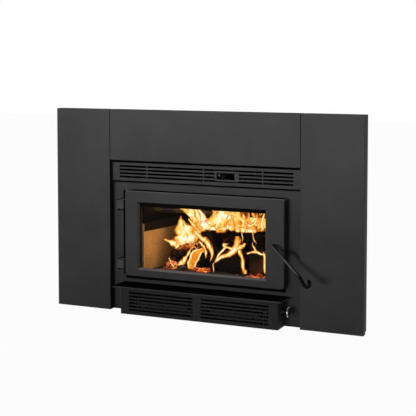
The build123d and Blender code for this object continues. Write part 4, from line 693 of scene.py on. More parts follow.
def gasket_rope():
    """Knitted glass rope, its yarns crossing on the piece's own coordinates."""
    rope = Finish("rope_gasket", (0.10, 0.098, 0.092), 0.95)
    yarn = rope.cells(330, rope.place(turn=(0.6, 0.7, 0.8)))
    tone = rope.ramp(rope.noise(25, 4), (0.35, (0.04, 0.038, 0.035)), (0.7, (0.17, 0.16, 0.15)))
    rope.tint(rope.shaded(tone, yarn, (0.1, 1.0), (0.5, 0.5)))
    rope.bump(rope.ramp(yarn, (0.0, 1.0), (0.6, 0.0)), 0.0008, 0.8)
    return rope.material


def ceramic_glass():
    """Clear door glass: straight light, Fresnel reflection, faint soot and a black band of painted shade
    at its top.
    """
    glass = Finish("door_glass", (0.003, 0.0025, 0.002), 0.9, gloss=0.02)
    clear = glass.add("ShaderNodeBsdfTransparent", 0, {"Color": (0.97, 0.96, 0.93, 1)})
    mirror = glass.add("ShaderNodeBsdfGlossy", 0, {"Color": (0.9, 0.9, 0.9, 1), "Roughness": 0.04})
    fresnel = glass.add("ShaderNodeFresnel", 0, {"IOR": 1.12})
    leaving = glass.add("ShaderNodeNewGeometry", "Backfacing")
    fresnel = glass.times(fresnel, glass.math("SUBTRACT", 1.0, leaving))
    pane = glass.add("ShaderNodeMixShader", 0, {0: fresnel, 1: clear, 2: mirror})
    haze_and_shade_band = glass.ramp(glass.noise(16, 4, 0.65), (0.55, 0.0), (0.9, 0.03))
    # painted shade: a black band across the top of the glass
    low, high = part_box("door_glass")
    haze_and_shade_band = glass.most(haze_and_shade_band, glass.inside((low.x, 0, high.z - GLASS_BAND), high, BAND_FADE))
    glass.show(glass.add("ShaderNodeMixShader", 0, {0: haze_and_shade_band, 1: pane, 2: glass.shader.outputs[0]}))
    return glass.material


def charred_wood(settings):
    """Charcoal blocks parted by cracks, with patches of ash and a glow deep in the cracks.

    Each spot that is lit or baked is a place on the logs and a reach, in metres.
    """
    char = Finish("charred_wood", (0.004, 0.003, 0.003), 0.92, gloss=0.05)
    blocks = char.cells(1.0, char.place(source="UV"), "DISTANCE_TO_EDGE")
    fibre = char.noise(6.0, 5, 0.75, char.place((1, 6, 1), source="UV"))
    tone = char.ramp(fibre, (0.35, (0.0022, 0.0018, 0.0018)), (0.7, (0.010, 0.007, 0.005)))
    ash = char.ramp(char.noise(24, 4, 0.7), (0.68, 0.0), (0.9, 0.25))
    tone = char.blend(ash, tone, (0.04, 0.030, 0.024))
    baked = char.near(((0.222, 0.010, 0.180), 0.065))
    tone = char.blend(char.times(baked, fibre, clamp=True), tone, (0.34, 0.12, 0.040))
    char.tint(tone)
    lit = char.near(
        ((-0.130, 0.055, 0.242), 0.055), ((-0.102, 0.085, 0.250), 0.07),
        ((-0.160, 0.040, 0.190), 0.03), ((0.226, 0.008, 0.182), 0.032),
    )
    crack = char.ramp(blocks, (0.0, 1.0), (0.10, 0.0))
    hot = char.ramp(char.line(lit, 0.22, char.noise(9, 3, 0.6)), (0.58, 0.0), (0.72, 1.0))
    patch = char.line(lit, 0.30, char.noise(13, 4, 0.65, swirl=0.7))
    glow = char.most(char.times(crack, hot), char.ramp(patch, (0.68, 0.0), (0.84, 0.8)))
    colour = char.ramp(glow, (0.0, (0.25, 0.01, 0.0)), (0.5, settings.ember_colour), (1.0, (1, 0.62, 0.2)))
    char.glow(colour, char.times(glow, 1.3))
    relief = char.bump(char.ramp(blocks, (0.0, 0.0), (0.16, 1.0)), 0.004, 0.9)
    char.bump(fibre, 0.0012, 0.7, relief)
    return char.material


def glowing_coal(settings):
    """Coals: black and grey ash shells over red and orange heat, hottest at three spots."""
    coal = Finish("glowing_coal", (0.02, 0.017, 0.015), 0.9)
    fine = coal.noise(150, 4, 0.7)
    coal.tint(fine, (0.35, (0.005, 0.004, 0.004)), (0.72, (0.05, 0.042, 0.038)))
    bed = coal.near(
        ((-0.150, 0.055, 0.175), 0.065), ((-0.030, 0.030, 0.168), 0.045), ((0.190, 0.020, 0.168), 0.05)
    )
    patches = coal.noise(34, 4, 0.65, swirl=0.5)
    hot = coal.ramp(coal.line(bed, 0.42, patches), (0.58, 0.0), (0.80, 1.0))
    seams = coal.ramp(coal.cells(60, feature="DISTANCE_TO_EDGE"), (0.0, 1.0), (0.12, 0.25))
    glow = coal.times(hot, seams)
    colour = coal.ramp(
        glow, (0.0, (0.3, 0.008, 0.0)), (0.45, settings.ember_colour), (1.0, (1.0, 0.34, 0.08))
    )
    coal.glow(colour, coal.times(glow, 1.9))
    coal.bump(fine, 0.0015, 0.8)
    return coal.material


def flame_sheet(settings, name, rims, wander, softness, streaks):
    """Flame: a hot body that tears and cools towards its edges and its tip.

    Across the sheet the UV's u runs 0 to 1 and along it v runs 0 to 1. The body is a curve over
    1 - |2u - 1|, the distance from the rims, times a curve over v, plus swirling noise in the
    piece's own coordinates times how far it wanders. It sets the colour and how much shows.
    """
    flame = Finish(name, (0, 0, 0), 1.0, gloss=0.0)
    uv = flame.add("ShaderNodeTexCoord", "UV")
    edge = flame.math("ABSOLUTE", flame.line(flame.axis("X", uv), 2.0, -1.0))
    body = flame.ramp(flame.math("SUBTRACT", 1.0, edge), (0.0, 0.0), *rims)
    tip = flame.ramp(flame.axis("Y", uv), (0.0, 0.0), (0.10, 1.0), (0.75, 1.0), (1.0, 0.55))
    swirl = flame.math("SUBTRACT", flame.noise(1.0, 3, 0.5, flame.place(streaks), 0.9), 0.5)
    body = flame.line(swirl, wander, flame.times(body, tip))
    colour = flame.ramp(
        body, (0.08, settings.edge_colour), (0.26, (0.70, 0.15, 0.008)), (0.44, (0.86, 0.30, 0.028)),
        (0.60, (0.97, 0.57, 0.11)), (0.76, (1.0, 0.81, 0.30)), (0.94, settings.core_colour),
    )
    flame.glow(colour, settings.strength)
    flame.set("Alpha", flame.ramp(body, (0.08, 0.0), (0.08 + softness, 1.0)))
    return flame.material


# ---------------------------------------------------------------- mesh helpers
def grid_faces(rows, columns, closed=False):
    """Quads over a grid of points in rows; a closed grid joins its last column to its first."""
    index = np.arange(rows * columns).reshape(rows, columns)
    if closed:
        index = np.concatenate([index, index[:, :1]], axis=1)
    quads = [index[:-1, :-1], index[:-1, 1:], index[1:, 1:], index[1:, :-1]]
    return np.stack(quads, axis=-1).reshape(-1, 4)


def grid_uv(u, v, faces):
    """The UV of every face corner, from the u and v of every grid point."""
    corners = faces.reshape(-1)
    return np.stack([u.reshape(-1)[corners], v.reshape(-1)[corners]], axis=1)


def joined(grids, closed=False):
    """Grids of points with their u and v as one: all points, all faces and the UV of each corner."""
    points, faces, uvs, first = [], [], [], 0
    for grid, u, v in grids:
        quads = grid_faces(*u.shape, closed)
        points.append(grid.reshape(-1, 3))
        faces.append(quads + first)
        uvs.append(grid_uv(u, v, quads))
        first += u.size
    return np.concatenate(points), np.concatenate(faces), np.concatenate(uvs)


def put(name, data):
    """A mesh, lamp or camera as an object in the scene."""
    thing = bpy.data.objects.new(name, data)
    bpy.context.scene.collection.objects.link(thing)
    return thing


def set_piece(name, mesh, material, body):
    """An object of a mesh with one finish, riding on a body."""
    mesh.materials.clear()
    mesh.materials.append(material)
    piece = put(name, mesh)
    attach(piece, body)
    return piece


def merge_points(mesh, distance, new=False):
    """Merges points this near; in a new piece it also drops slivers and turns faces outwards."""
    edit = bmesh.new()
    edit.from_mesh(mesh)
    bmesh.ops.remove_doubles(edit, verts=edit.verts, dist=distance)
    if new:
        bmesh.ops.dissolve_degenerate(edit, edges=edit.edges, dist=SLIVER)
        bmesh.ops.recalc_face_normals(edit, faces=edit.faces)
    edit.to_mesh(mesh)
    edit.free()


def make_piece(name, points, faces, material, uv=None, weld=True):
    """A smooth-shaded mesh piece from arrays, merged at its poles and seams, on the fixed body."""
    mesh = bpy.data.meshes.new(name)
    mesh.from_pydata(points.reshape(-1, 3).tolist(), [], faces.tolist())
    if uv is not None:
        mesh.uv_layers.new(name="run").data.foreach_set("uv", uv.astype(np.float32).ravel())
    if weld:
        merge_points(mesh, SEAM, new=True)
    mesh.shade_smooth()
    return set_piece(name, mesh, material, "insert")


def smoothed_copy(node, name, material):
    """A merged copy of a CAD node, smooth over its curves and crisp at edges above the crease."""
    mesh = frame["nodes"][node].data.copy()
    mesh.name = name
    merge_points(mesh, CAD_SEAM)
    for attribute in [a for a in mesh.attributes if a.name == "custom_normal"]:
        mesh.attributes.remove(attribute)
    mesh.shade_smooth()
    mesh.set_sharp_from_angle(angle=radians(CREASE))
    piece = set_piece(name, mesh, material, BODY_OF[node])
    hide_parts(node)


def paint_nodes(material, *nodes):
    """Gives CAD nodes a finish and leaves their meshes alone."""
    for node in nodes:
        slots = frame["nodes"][node].data.materials
        slots.clear()
        slots.append(material)


def lumps(points, size, seed):
    """Smooth lumps, mostly from -1 to 1: the mean of sine waves in random directions, times a gain.

    A wave's length is the size over a random rate from 0.6 to 1.6.
    """
    waves, gain = 14, 2.2
    rng = np.random.default_rng(seed)
    directions = rng.normal(size=(waves, 3))
    directions /= np.linalg.norm(directions, axis=1, keepdims=True)
    rates = rng.uniform(0.6, 1.6, waves) * 2 * np.pi / size
    phases = rng.uniform(0, 2 * np.pi, waves)
    return np.sin(points @ directions.T * rates + phases).mean(axis=-1) * gain


def unit(vectors):
    """Vectors scaled to length 1 along the last axis."""
    return vectors / np.maximum(np.linalg.norm(vectors, axis=-1, keepdims=True), 1e-9)


def through(points, count):
    """A smooth path of count points through the given ones, by Catmull-Rom spans."""
    points = np.asarray(points, float)
    ends = np.concatenate([[2 * points[0] - points[1]], points, [2 * points[-1] - points[-2]]])
    t = np.linspace(0, len(points) - 1, count)
    span = np.minimum(t.astype(int), len(points) - 2)
    t = (t - span)[:, None]
    a, b, c, d = (ends[span + step] for step in range(4))
    return 0.5 * (
        2 * b + (c - a) * t + (2 * a - 5 * b + 4 * c - d) * t**2 + (3 * b - a - 3 * c + d) * t**3
    )


# ---------------------------------------------------------------- pieces of the fire
# each log: its left or front end, its other end and its radius in metres, and its seed
LOGS = (
    ((-0.125, 0.314, 0.185), (0.165, 0.314, 0.185), 0.034, 2),
    ((-0.015, 0.196, 0.186), (0.170, 0.172, 0.186), 0.035, 5),
    ((0.006, 0.058, 0.184), (0.146, 0.052, 0.184), 0.033, 11),
    ((0.200, 0.017, 0.200), (0.148, 0.190, 0.252), 0.036, 13),
    ((-0.148, 0.282, 0.241), (0.176, 0.272, 0.247), 0.036, 3),
    ((-0.136, 0.046, 0.206), (-0.086, 0.215, 0.254), 0.034, 7),
    ((-0.046, 0.048, 0.172), (-0.046, 0.210, 0.174), 0.021, 19),
    ((-0.102, 0.215, 0.287), (0.004, 0.070, 0.222), 0.017, 17),
    ((-0.128, 0.262, 0.270), (-0.100, 0.262, 0.362), 0.010, 23),
)


def log_arrays(start, end, radius, seed):
    """Points of one log: rings round a straight axis, with radius times 1 + lumps.

    The row's place along the axis and its share of the radius come from a profile: a pole, a
    slightly domed end, a rounded rim, the length and the same again. Weak cosines of 3 times and
    of twice the angle give the split sides, and coarse and fine lumps the char.
    """
    upright = (0.11, 0.2, 1.0)  # a way that no log runs
    start, end = np.array(start), np.array(end)
    axis = unit(end - start)
    length = np.linalg.norm(end - start)
    side = unit(np.cross(axis, upright))
    up = np.cross(side, axis)
    bark = BARK_START + np.linspace(0.0, 1.0, BARK_ROWS) * (length - 2 * BARK_START)
    along = np.concatenate([CAP_ROWS, bark, length - CAP_ROWS[::-1]])
    share = np.concatenate([CAP_SHARES, np.ones(BARK_ROWS), CAP_SHARES[::-1]])
    angle = np.linspace(0, 2 * np.pi, BARK_SIDES, endpoint=False)
    rng = np.random.default_rng(seed)
    split = 1 + 0.10 * np.cos(3 * angle + rng.uniform(0, 6))
    split += 0.05 * np.cos(2 * angle + rng.uniform(0, 6))
    ring = np.cos(angle)[:, None] * side + np.sin(angle)[:, None] * up
    centre = start + along[:, None, None] * axis
    points = centre + (radius * share)[:, None, None] * (split[:, None] * ring)[None]
    swell = 1 + 0.10 * lumps(points, 0.09, seed) + 0.045 * lumps(points, 0.02, seed + 1)
    points = centre + (points - centre) * swell[..., None]
    u = np.broadcast_to(along[:, None] / CHAR_LENGTH, points.shape[:2])
    v = np.broadcast_to(angle[None] * radius / CHAR_WIDTH, points.shape[:2])
    return points, u, v


def lay_logs(material):
    """The pile of logs: each a closed lumpy surface; grain runs along them through the UV."""
    points, faces, uv = joined([log_arrays(*log) for log in LOGS], closed=True)
    pile = make_piece("charred_logs", points, faces, material, uv)
    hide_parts("fire_logs")


# each swelling of the ember bed: its height, its middle across and in depth, its spread across and
# in depth, all in metres, and its power across
SWELLINGS = {
    "mound under the logs": (0.014, 0.02, 0.18, 0.16, 0.14, 4),
    "heap at the left front": (0.030, -0.142, 0.062, 0.045, 0.040, 4),
    "lip at the front": (0.008, 0.05, 0.03, 0.17, 0.05, 6),
}


def ember_height(x, y):
    """Top of the ember bed: a floor of ash and the highest swelling there, with lumps on it.

    A swelling is its height times exp(-(across ** power) - depth ** 4), where across and depth
    are distances from its middle over its spreads. Swellings and lumps sink towards the left wall.
    """
    swelling = 0.0
    for height, middle_x, middle_y, spread_x, spread_y, power in SWELLINGS.values():
        across, depth = (x - middle_x) / spread_x, (y - middle_y) / spread_y
        swelling = np.maximum(swelling, height * np.exp(-(across**power) - depth**4))
    spot = np.stack([x, y, x * 0], -1)
    rough = np.abs(sum(lumps(spot, size, seed) * height for size, seed, height in BED_LUMPS))
    share = np.clip((x - LEFT_FOOT) / LEFT_SLOPE, LEAST_SHARE, 1)
    return FLOOR_TOP + ASH_DEPTH + (swelling + rough) * share


def spread_ash(material):
    """Ember bed: a height field over the floor brick, as wide as the lining leaves at each depth."""
    rows, columns = 120, 150
    u, v = np.linspace(-1, 1, columns), np.linspace(0, 1, rows)
    y = FLOOR_FRONT + END_GAP + v * (BACK_FACE - FLOOR_FRONT - 2 * END_GAP)
    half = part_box("right_bricks")[0].x + (BACK_FACE - y) * BRICK_TAPER - SIDE_GAP
    x = u[None, :] * half[:, None]
    depth = np.broadcast_to(y[:, None], x.shape)
    z = np.full(x.shape, FLOOR_TOP + RIM_JOINT)
    z[1:-1, 1:-1] = ember_height(x, depth)[1:-1, 1:-1]
    points = np.stack([x, depth, z], -1)
    bed = make_piece("ember_surface", points, grid_faces(rows, columns), material, weld=False)
    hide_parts("ember_bed")


def scatter_coals(material):
    """Coals: one lump repeated over the bed, each turned, stretched and sunk by random numbers.

    The lump's rings stand at levels from -1 to 1, each with a radius of sqrt(1 - |level| ** 3).
    Coals that would lie under the front log go behind it.
    """
    rng = np.random.default_rng(41)
    angle = np.linspace(0, 2 * np.pi, COAL_SIDES, endpoint=False)
    levels = np.linspace(-1, 1, COAL_RINGS)
    ring = np.sqrt(np.maximum(1 - np.abs(levels) ** 3, 0))
    sides = (np.outer(ring, np.cos(angle)), np.outer(ring, np.sin(angle)))
    lump = np.stack([*sides, np.outer(levels, np.ones(COAL_SIDES))], -1)
    across, depth = rng.uniform(*COAL_ACROSS, COAL_COUNT), rng.uniform(*COAL_DEPTHS, COAL_COUNT)
    under_log = (across > LOG_ACROSS[0]) & (across < LOG_ACROSS[1]) & (depth < LOG_DEPTH)
    depth[under_log] = rng.uniform(*BEHIND_LOG, under_log.sum())
    size = rng.uniform(*COAL_SIZES, (COAL_COUNT, 1, 1, 1)) * COAL_STRETCH
    turn = rng.uniform(0, np.pi, COAL_COUNT)
    shape = lump[None] * size * rng.uniform(*COAL_WEAR, (COAL_COUNT, COAL_RINGS, COAL_SIDES, 1))
    cos, sin = np.cos(turn)[:, None, None], np.sin(turn)[:, None, None]
    x = shape[..., 0] * cos - shape[..., 1] * sin + across[:, None, None]
    y = shape[..., 0] * sin + shape[..., 1] * cos + depth[:, None, None]
    lift = ember_height(across, depth) + size[:, 0, 0, 2] * COAL_RISE
    z = shape[..., 2] + lift[:, None, None]
    first = np.arange(COAL_COUNT) * COAL_RINGS * COAL_SIDES
    faces = grid_faces(COAL_RINGS, COAL_SIDES, closed=True)[None] + first[:, None, None]
    coals = make_piece("coals", np.stack([x, y, z], -1), faces.reshape(-1, 4), material)
    coals.data.set_sharp_from_angle(angle=radians(COAL_CREASE))


# each flame: its seed, then stations up its middle; a station is the photograph's pixel across and
# down, the depth in millimetres behind the wall's face and the width there in pixels
CLUSTER = {
    "left_tall": (1, (184, 246, 70, 22), (183, 236, 85, 20), (181, 226, 95, 13), (180, 216, 100, 1)),
    "left_front": (2, (191, 243, 75, 14), (190, 236, 88, 14), (187, 227, 97, 9), (181, 219, 102, 1)),
    "left_lick": (3, (180, 245, 60, 10), (173, 243, 60, 7), (163, 239.5, 60, 1)),
    "left_back": (4, (192, 240, 100, 12), (196, 234, 110, 10), (196, 226, 120, 8), (188, 219, 130, 2)),
}
TONGUES = {
    "ribbon": (
        5, (193, 229, 60, 2), (199, 236, 55, 4), (205.5, 241, 50, 6), (210, 247, 45, 5.5),
        (212, 253, 42, 4), (209.5, 261, 40, 1),
    ),
    "ribbon_twin": (6, (198, 240, 56, 1), (203, 246, 50, 3), (206, 252, 46, 3), (206.5, 258, 44, 1)),
    "left_foot": (7, (175, 268, 22, 2), (181, 264, 24, 6), (187, 256.5, 30, 4), (193.5, 247.5, 36, 1)),
    "star_left": (
        9, (213.5, 264, 22, 1.5), (218, 259.6, 20, 4), (224, 256.4, 19, 5), (231, 253.6, 18, 6.5),
        (236, 250, 18, 8), (237, 243, 20, 8), (236.5, 236.5, 22, 5),
    ),
    "star_curl": (
        10, (235, 250, 21, 4), (229.4, 248, 22, 3), (224.5, 246.8, 24, 3), (223.4, 244, 26, 2.4),
        (228, 241.8, 28, 1.6),
    ),
    "star_right": (
        11, (236, 250, 17, 5), (240, 247, 17, 5.5), (243, 245.2, 18, 4.5), (246, 243.4, 20, 2),
    ),
    "star_leg": (
        12, (238, 249, 15, 4), (241.4, 256.5, 12, 4.5), (243.3, 265, 10, 4.2), (245, 274, 8, 5),
    ),
    "star_arm": (
        13, (214.5, 262, 24, 1), (219.5, 254, 24, 2), (224.5, 249.5, 24, 2.2), (229, 247.5, 24, 1),
    ),
    "right_spike": (14, (257, 254, 40, 3.5), (254.6, 249, 42, 2.5), (253, 242, 44, 0.6)),
    "right_bow": (
        15, (245.5, 254.3, 20, 1), (251, 252.6, 16, 2.4), (257, 252, 14, 2.6),
        (262, 254.6, 12, 2.4), (266, 255.5, 12, 2),
    ),
    "right_edge": (
        16, (264.8, 274, 6, 3), (264.8, 266, 6, 3.5), (264.6, 258, 8, 2.5), (263.8, 252, 10, 0.8),
    ),
    "left_thread": (17, (168.5, 257, 24, 0.6), (171, 262.5, 23, 1.1), (176, 267, 22, 0.9)),
    "foot_thread": (18, (214, 272, 22, 0.7), (213.2, 267, 22, 1.1), (214.5, 262, 23, 0.8)),
    "back_strand": (19, (253, 229, 100, 1.4), (252.8, 236, 90, 1.4), (256, 244, 80, 0.7)),
    "back_thread": (20, (240.5, 230, 100, 0.8), (242.5, 236, 90, 0.9), (243.5, 242, 80, 0.6)),
    "swirl_a": (61, (227.5, 230, 26, 3), (228.5, 221, 24, 5), (230, 213, 22, 5), (231, 205, 20, 3)),
    "swirl_b": (62, (236.5, 230, 28, 2), (236, 221, 26, 3.5), (235, 213, 24, 4), (235.5, 205, 22, 3)),
    "swirl_hook": (
        63, (243, 212, 26, 1.5), (244.5, 220, 25, 3), (249.5, 226, 24, 3.5), (255, 223, 25, 3),
        (257, 213, 26, 1.5),
    ),
    "swirl_c": (64, (216, 230, 28, 3), (217.5, 222, 26, 5), (215, 214, 24, 6), (217, 205, 22, 4)),
    "swirl_d": (65, (197, 228, 24, 4), (199.5, 220, 22, 6), (196, 212, 20, 6), (190, 206, 20, 3)),
    "swirl_e": (66, (263, 231, 26, 2), (262, 222, 25, 3), (264, 213, 24, 2.5), (262, 205, 23, 1.5)),
}
LOOPS = {
    "log_film": (
        8, (190, 270, 22, 3), (191.5, 265, 22, 8), (195, 257.5, 26, 9.5), (199.5, 252, 30, 8),
        (203.5, 248.5, 34, 4),
    ),
}
VEILS = {
    "sweep": (
        31, (202, 232, 30, 7), (201.5, 224, 28, 10.5), (196, 215.5, 26, 11), (186, 209, 24, 8),
        (174, 205.5, 22, 2),
    ),
    "sweep_back": (
        32, (203, 231.5, 32, 17), (201, 224, 31, 13), (197.5, 215, 29, 11.5), (196, 203, 27, 13),
    ),
    "right_of_gap": (
        33, (223, 229.5, 34, 31), (224.5, 222.5, 32, 27), (226, 212, 30, 26), (225, 202, 28, 27),
    ),
    "log_top": (
        38, (200, 228, 200, 2), (212, 228.5, 200, 4), (226, 228.5, 200, 3.5), (245, 230, 200, 4),
        (266, 231, 200, 2),
    ),
}
FAR_VEILS = {
    "right_far": (
        37, (250.5, 230, 36, 38), (251, 221, 34, 41), (251, 211.5, 32, 41), (250.5, 201.5, 30, 41),
    ),
    "whole_back": (41, (242, 233, 250, 61), (242, 222, 248, 61), (242, 212, 246, 61)),
}

# each kind of flame: its flames, the body's curve from nothing at the rims to the middle, how far
# the noise wanders, how softly the edge fades and the noise's scale across, in depth and up
FLAMES = {
    "flame_cluster": (CLUSTER, ((0.35, 0.46), (0.75, 0.80)), 1.6, 0.5, (40, 40, 22)),
    "flame_tongues": (TONGUES, ((0.40, 0.40), (0.85, 0.84)), 1.4, 0.3, (60, 60, 28)),
    "flame_loops": (
        LOOPS, ((0.16, 0.95), (0.32, 0.7), (0.55, 0.40), (1.0, 0.46)), 0.8, 0.25, (60, 60, 24),
    ),
    "flame_veils": (VEILS, ((0.12, 0.56), (0.4, 0.72)), 2.3, 0.4, (34, 34, 15)),
    "flame_far_veils": (FAR_VEILS, ((0.12, 0.26), (0.4, 0.31)), 2.9, 0.4, (30, 30, 14)),
}

# each lamp among the logs: its name, its place in metres and its share of the glow's power
GLOWS = (
    ("glow_front", (-0.02, -0.020, 0.300), 0.25),
    ("glow_left", (-0.115, 0.020, 0.270), 1.0),
    ("glow_middle", (0.06, 0.120, 0.330), 0.5),
    ("glow_back", (-0.02, 0.200, 0.350), 0.5),
)


def seen_at(across, down, depth):
    """The point at a depth (its y) that lies behind a pixel of the photograph.

    The pixel's ray leaves the eye along right * u + up * v + forward, where u and v are the
    pixel's offsets from the shifted middle over the focal length in pixels.
    """
    focal = LENS / SENSOR * PHOTO_SIZE
    middle = PHOTO_SIZE / 2
    level = middle - down + LENS_SHIFT * PHOTO_SIZE
    ray = LOOK.to_matrix() @ Vector(((across - middle) / focal, level / focal, -1))
    return Vector(EYE) + ray * ((depth - EYE[1]) / ray.y)


def flame_arrays(path, widths, seed):
    """Points of one flame: a sheet carried up a smooth path.

    Across the path a point moves by width * (u - 1/2) at right angles to the path and to the way
    the flames face. The rims curl from the room by a share of (2u - 1) squared, slow ripples come
    on top, and the flame sways more towards its tip.
    """
    rows, columns = 36, 15
    line = through(path, rows)
    width = through(np.array(widths)[:, None], rows)[:, 0]
    run = np.gradient(line, axis=0)
    across = unit(np.cross(run, FLAMES_FACE))
    out = unit(np.cross(across, run))
    u, v = np.linspace(0, 1, columns), np.linspace(0, 1, rows)
    rows_of_path = np.stack([v * 0.1, v * 0, v * 0 + seed], -1)
    width = width * (1 + FLAME_PULSE * lumps(rows_of_path, 0.03, seed + 5))
    points = line[:, None] + ((u - 0.5)[None, :] * width[:, None])[..., None] * across[:, None]
    bend = FLAME_BEND * np.minimum(width, WIDEST_BEND)[:, None]
    curl = ((2 * u - 1) ** 2)[None, :] * bend
    ripple = lumps(points, 0.05, seed) * bend
    points = points + (ripple - curl)[..., None] * out[:, None]
    sway = lumps(rows_of_path, 0.06, seed + 3) * v * TIP_SWAY
    points = points + sway[:, None, None] * across[:, None]
    shape = points.shape[:2]
    return points, np.broadcast_to(u, shape), np.broadcast_to(v[:, None], shape)


def light_flames(name, flames, material):
    """One piece of flame sheets; each sheet keeps its own run of UV."""
    sheets = []
    for seed, *stations in flames.values():
        path = [seen_at(across, down, depth * MILLIMETRE) for across, down, depth, _ in stations]
        widths = [max(width * PIXEL_AT_FIRE, THINNEST_FLAME) for *_, width in stations]
        sheets.append(flame_arrays(path, widths, seed))
    points, faces, uv = joined(sheets)
    make_piece(name, points, faces, material, uv, weld=False)


# ---------------------------------------------------------------- studio
def hang_lamp(name, kind, place, power, radius):
    """A lamp of some kind at a place, with its power and its soft radius."""
    lamp = bpy.data.lights.new(name, kind)
    lamp.energy = power
    lamp.shadow_soft_size = radius
    light = put(name, lamp)
    light.location = place
    return light


def aim_spot(light, aim, cone):
    """Points a spot lamp at a place, with a soft cone in degrees."""
    light.data.spot_size = radians(cone)
    light.data.spot_blend = 1.0
    light.rotation_euler = (Vector(aim) - light.location).to_track_quat("-Z", "Y").to_euler()


def seen_directly(tree):
    """1 for rays from the camera, gloss and glass, and 0 for rays that only carry light."""
    path = tree.nodes.new("ShaderNodeLightPath")
    seen = path.outputs["Is Camera Ray"]
    for kind in ("Is Glossy Ray", "Is Transmission Ray"):
        either = tree.nodes.new("ShaderNodeMath")
        either.operation = "MAXIMUM"
        tree.links.new(seen, either.inputs[0])
        tree.links.new(path.outputs[kind], either.inputs[1])
        seen = either.outputs[0]
    return seen


def lit_white():
    """A white surface that keeps shadows: the camera, gloss and glass see mostly plain white."""
    white = Finish("studio_white", (0.8, 0.8, 0.8), 1.0, gloss=0.0)
    share = white.times(seen_directly(white.material.node_tree), PLAIN_SHARE)
    plain = white.add("ShaderNodeEmission", 0, {"Color": (1, 1, 1, 1), "Strength": 1.0})
    white.show(white.add("ShaderNodeMixShader", 0, {0: share, 1: white.shader.outputs[0], 2: plain}))
    white.material.cycles.emission_sampling = "NONE"
    return white.material


def lay_floor(size):
    """The studio floor: a square a little under the hearth's level."""
    half, level = size / 2, -FLOOR_DROP
    corners = [(-half, -half, level), (half, -half, level), (half, half, level), (-half, half, level)]
    mesh = bpy.data.meshes.new("studio_floor")
    mesh.from_pydata(corners, [], [(0, 1, 2, 3)])
    mesh.materials.append(lit_white())
    floor = put("studio_floor", mesh)


def fill_air(level):
    """Even light of one level all round; the camera, gloss and glass see it as plain white."""
    world = bpy.data.worlds.new("studio_air")
    world.use_nodes = True
    tree = world.node_tree
    sky = tree.nodes["Background"]
    strength = tree.nodes.new("ShaderNodeMapRange")
    tree.links.new(seen_directly(tree), strength.inputs["Value"])
    strength.inputs["To Min"].default_value = level
    strength.inputs["To Max"].default_value = 1.0
    tree.links.new(strength.outputs[0], sky.inputs["Strength"])
    sky.inputs["Color"].default_value = (1, 1, 1, 1)
    bpy.context.scene.world = world


def set_camera(length):
    """The photograph's camera, with a lens of some length in millimetres."""
    lens = bpy.data.cameras.new("photo_camera")
    lens.lens = length
    lens.sensor_width = SENSOR
    lens.shift_y = LENS_SHIFT
    lens.clip_start, lens.clip_end = 0.1, 60.0
    camera = put("photo_camera", lens)
    camera.location = EYE
    camera.rotation_euler = LOOK
    bpy.context.scene.camera = camera


# ---------------------------------------------------------------- operators
class HEARTH_OT_painted_steel(bpy.types.Operator):
    """Paint the surround, plate, grille, shelf, blower cover, door and hinges"""

    bl_idname = "hearth.painted_steel"
    bl_label = "Painted steel"

    def execute(self, context):
        settings = context.scene.hearth_paint
        paint = stove_paint(settings)
        low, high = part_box("top_grille")
        # a painted shadow on the grille just under the top panel's edge
        panel_shadow_line = [((low.x, 0, high.z - PANEL_LINE), high)]
        for node, finish in (
            ("surround_right_panel", paint),
            ("surround_top_panel", paint),
            # the shelf's top goes black from the paint's painted shade on faces that look up
            ("ash_shelf", paint),
            # painted shade on the left panel's faces that look left or right
            ("surround_left_panel", stove_paint(settings, "left_paint", sides=0.7)),
            # a lighter copy of the paint for the hinge blocks: painted light
            ("hinge_blocks", stove_paint(settings, "hinge_paint_painted_light", 1.35)),
            # painted shade on the door's faces that look left or right
            ("door_frame", stove_paint(settings, "door_paint", sides=0.6)),
            # a darker copy of the paint for the blower cover: painted shade
            ("blower_cover", stove_paint(settings, "cover_paint_painted_shade", 0.47)),
            ("top_grille", stove_paint(settings, "grille_paint", painted_shade_patches=panel_shadow_line)),
        ):
            smoothed_copy(node, f"painted_{node}", finish)
        # the plate: painted shade behind the grille and painted shadows by the door and the hinges
        behind = stove_paint(settings, "plate_paint", painted_shade_patches=plate_painted_shade())
        paint_nodes(behind, "front_plate", "grille_supports")
        paint_nodes(paint, "control_bezel", "door_hinge_lugs")
        return {"FINISHED"}


class HEARTH_OT_firebox(bpy.types.Operator):
    """Finish the firebox, flue collar, air ways and tubes"""

    bl_idname = "hearth.firebox"
    bl_label = "Firebox steel"

    def execute(self, context):
        plate = heated_plate(context.scene.hearth_metal)
        paint_nodes(
            plate, "air_channels", "air_shutter", "airwash_manifold", "brick_rails", "firebox_body",
            "firebox_supports",
        )
        smoothed_copy("flue_collar", "smooth_flue_collar", plate)
        stainless = tinted_stainless()
        smoothed_copy("secondary_air_tubes", "smooth_air_tubes", stainless)
        paint_nodes(stainless, "latch_cam")
        return {"FINISHED"}


class HEARTH_OT_casing(bpy.types.Operator):
    """Finish the galvanised convection casing"""

    bl_idname = "hearth.casing"
    bl_label = "Casing"

    def execute(self, context):
        zinc = galvanised(context.scene.hearth_metal)
        paint_nodes(zinc, "casing_back", "casing_base", "casing_wrap")
        return {"FINISHED"}


class HEARTH_OT_lining(bpy.types.Operator):
    """Finish the firebrick and the baffle boards"""

    bl_idname = "hearth.lining"
    bl_label = "Refractory lining"

    def execute(self, context):
        brick = firebrick(context.scene.hearth_lining)
        paint_nodes(brick, "back_bricks", "floor_bricks", "left_bricks", "right_bricks")
        paint_nodes(scaled_strip(), "brick_retainers")
        paint_nodes(fibre_board(), "baffle_boards")
        return {"FINISHED"}


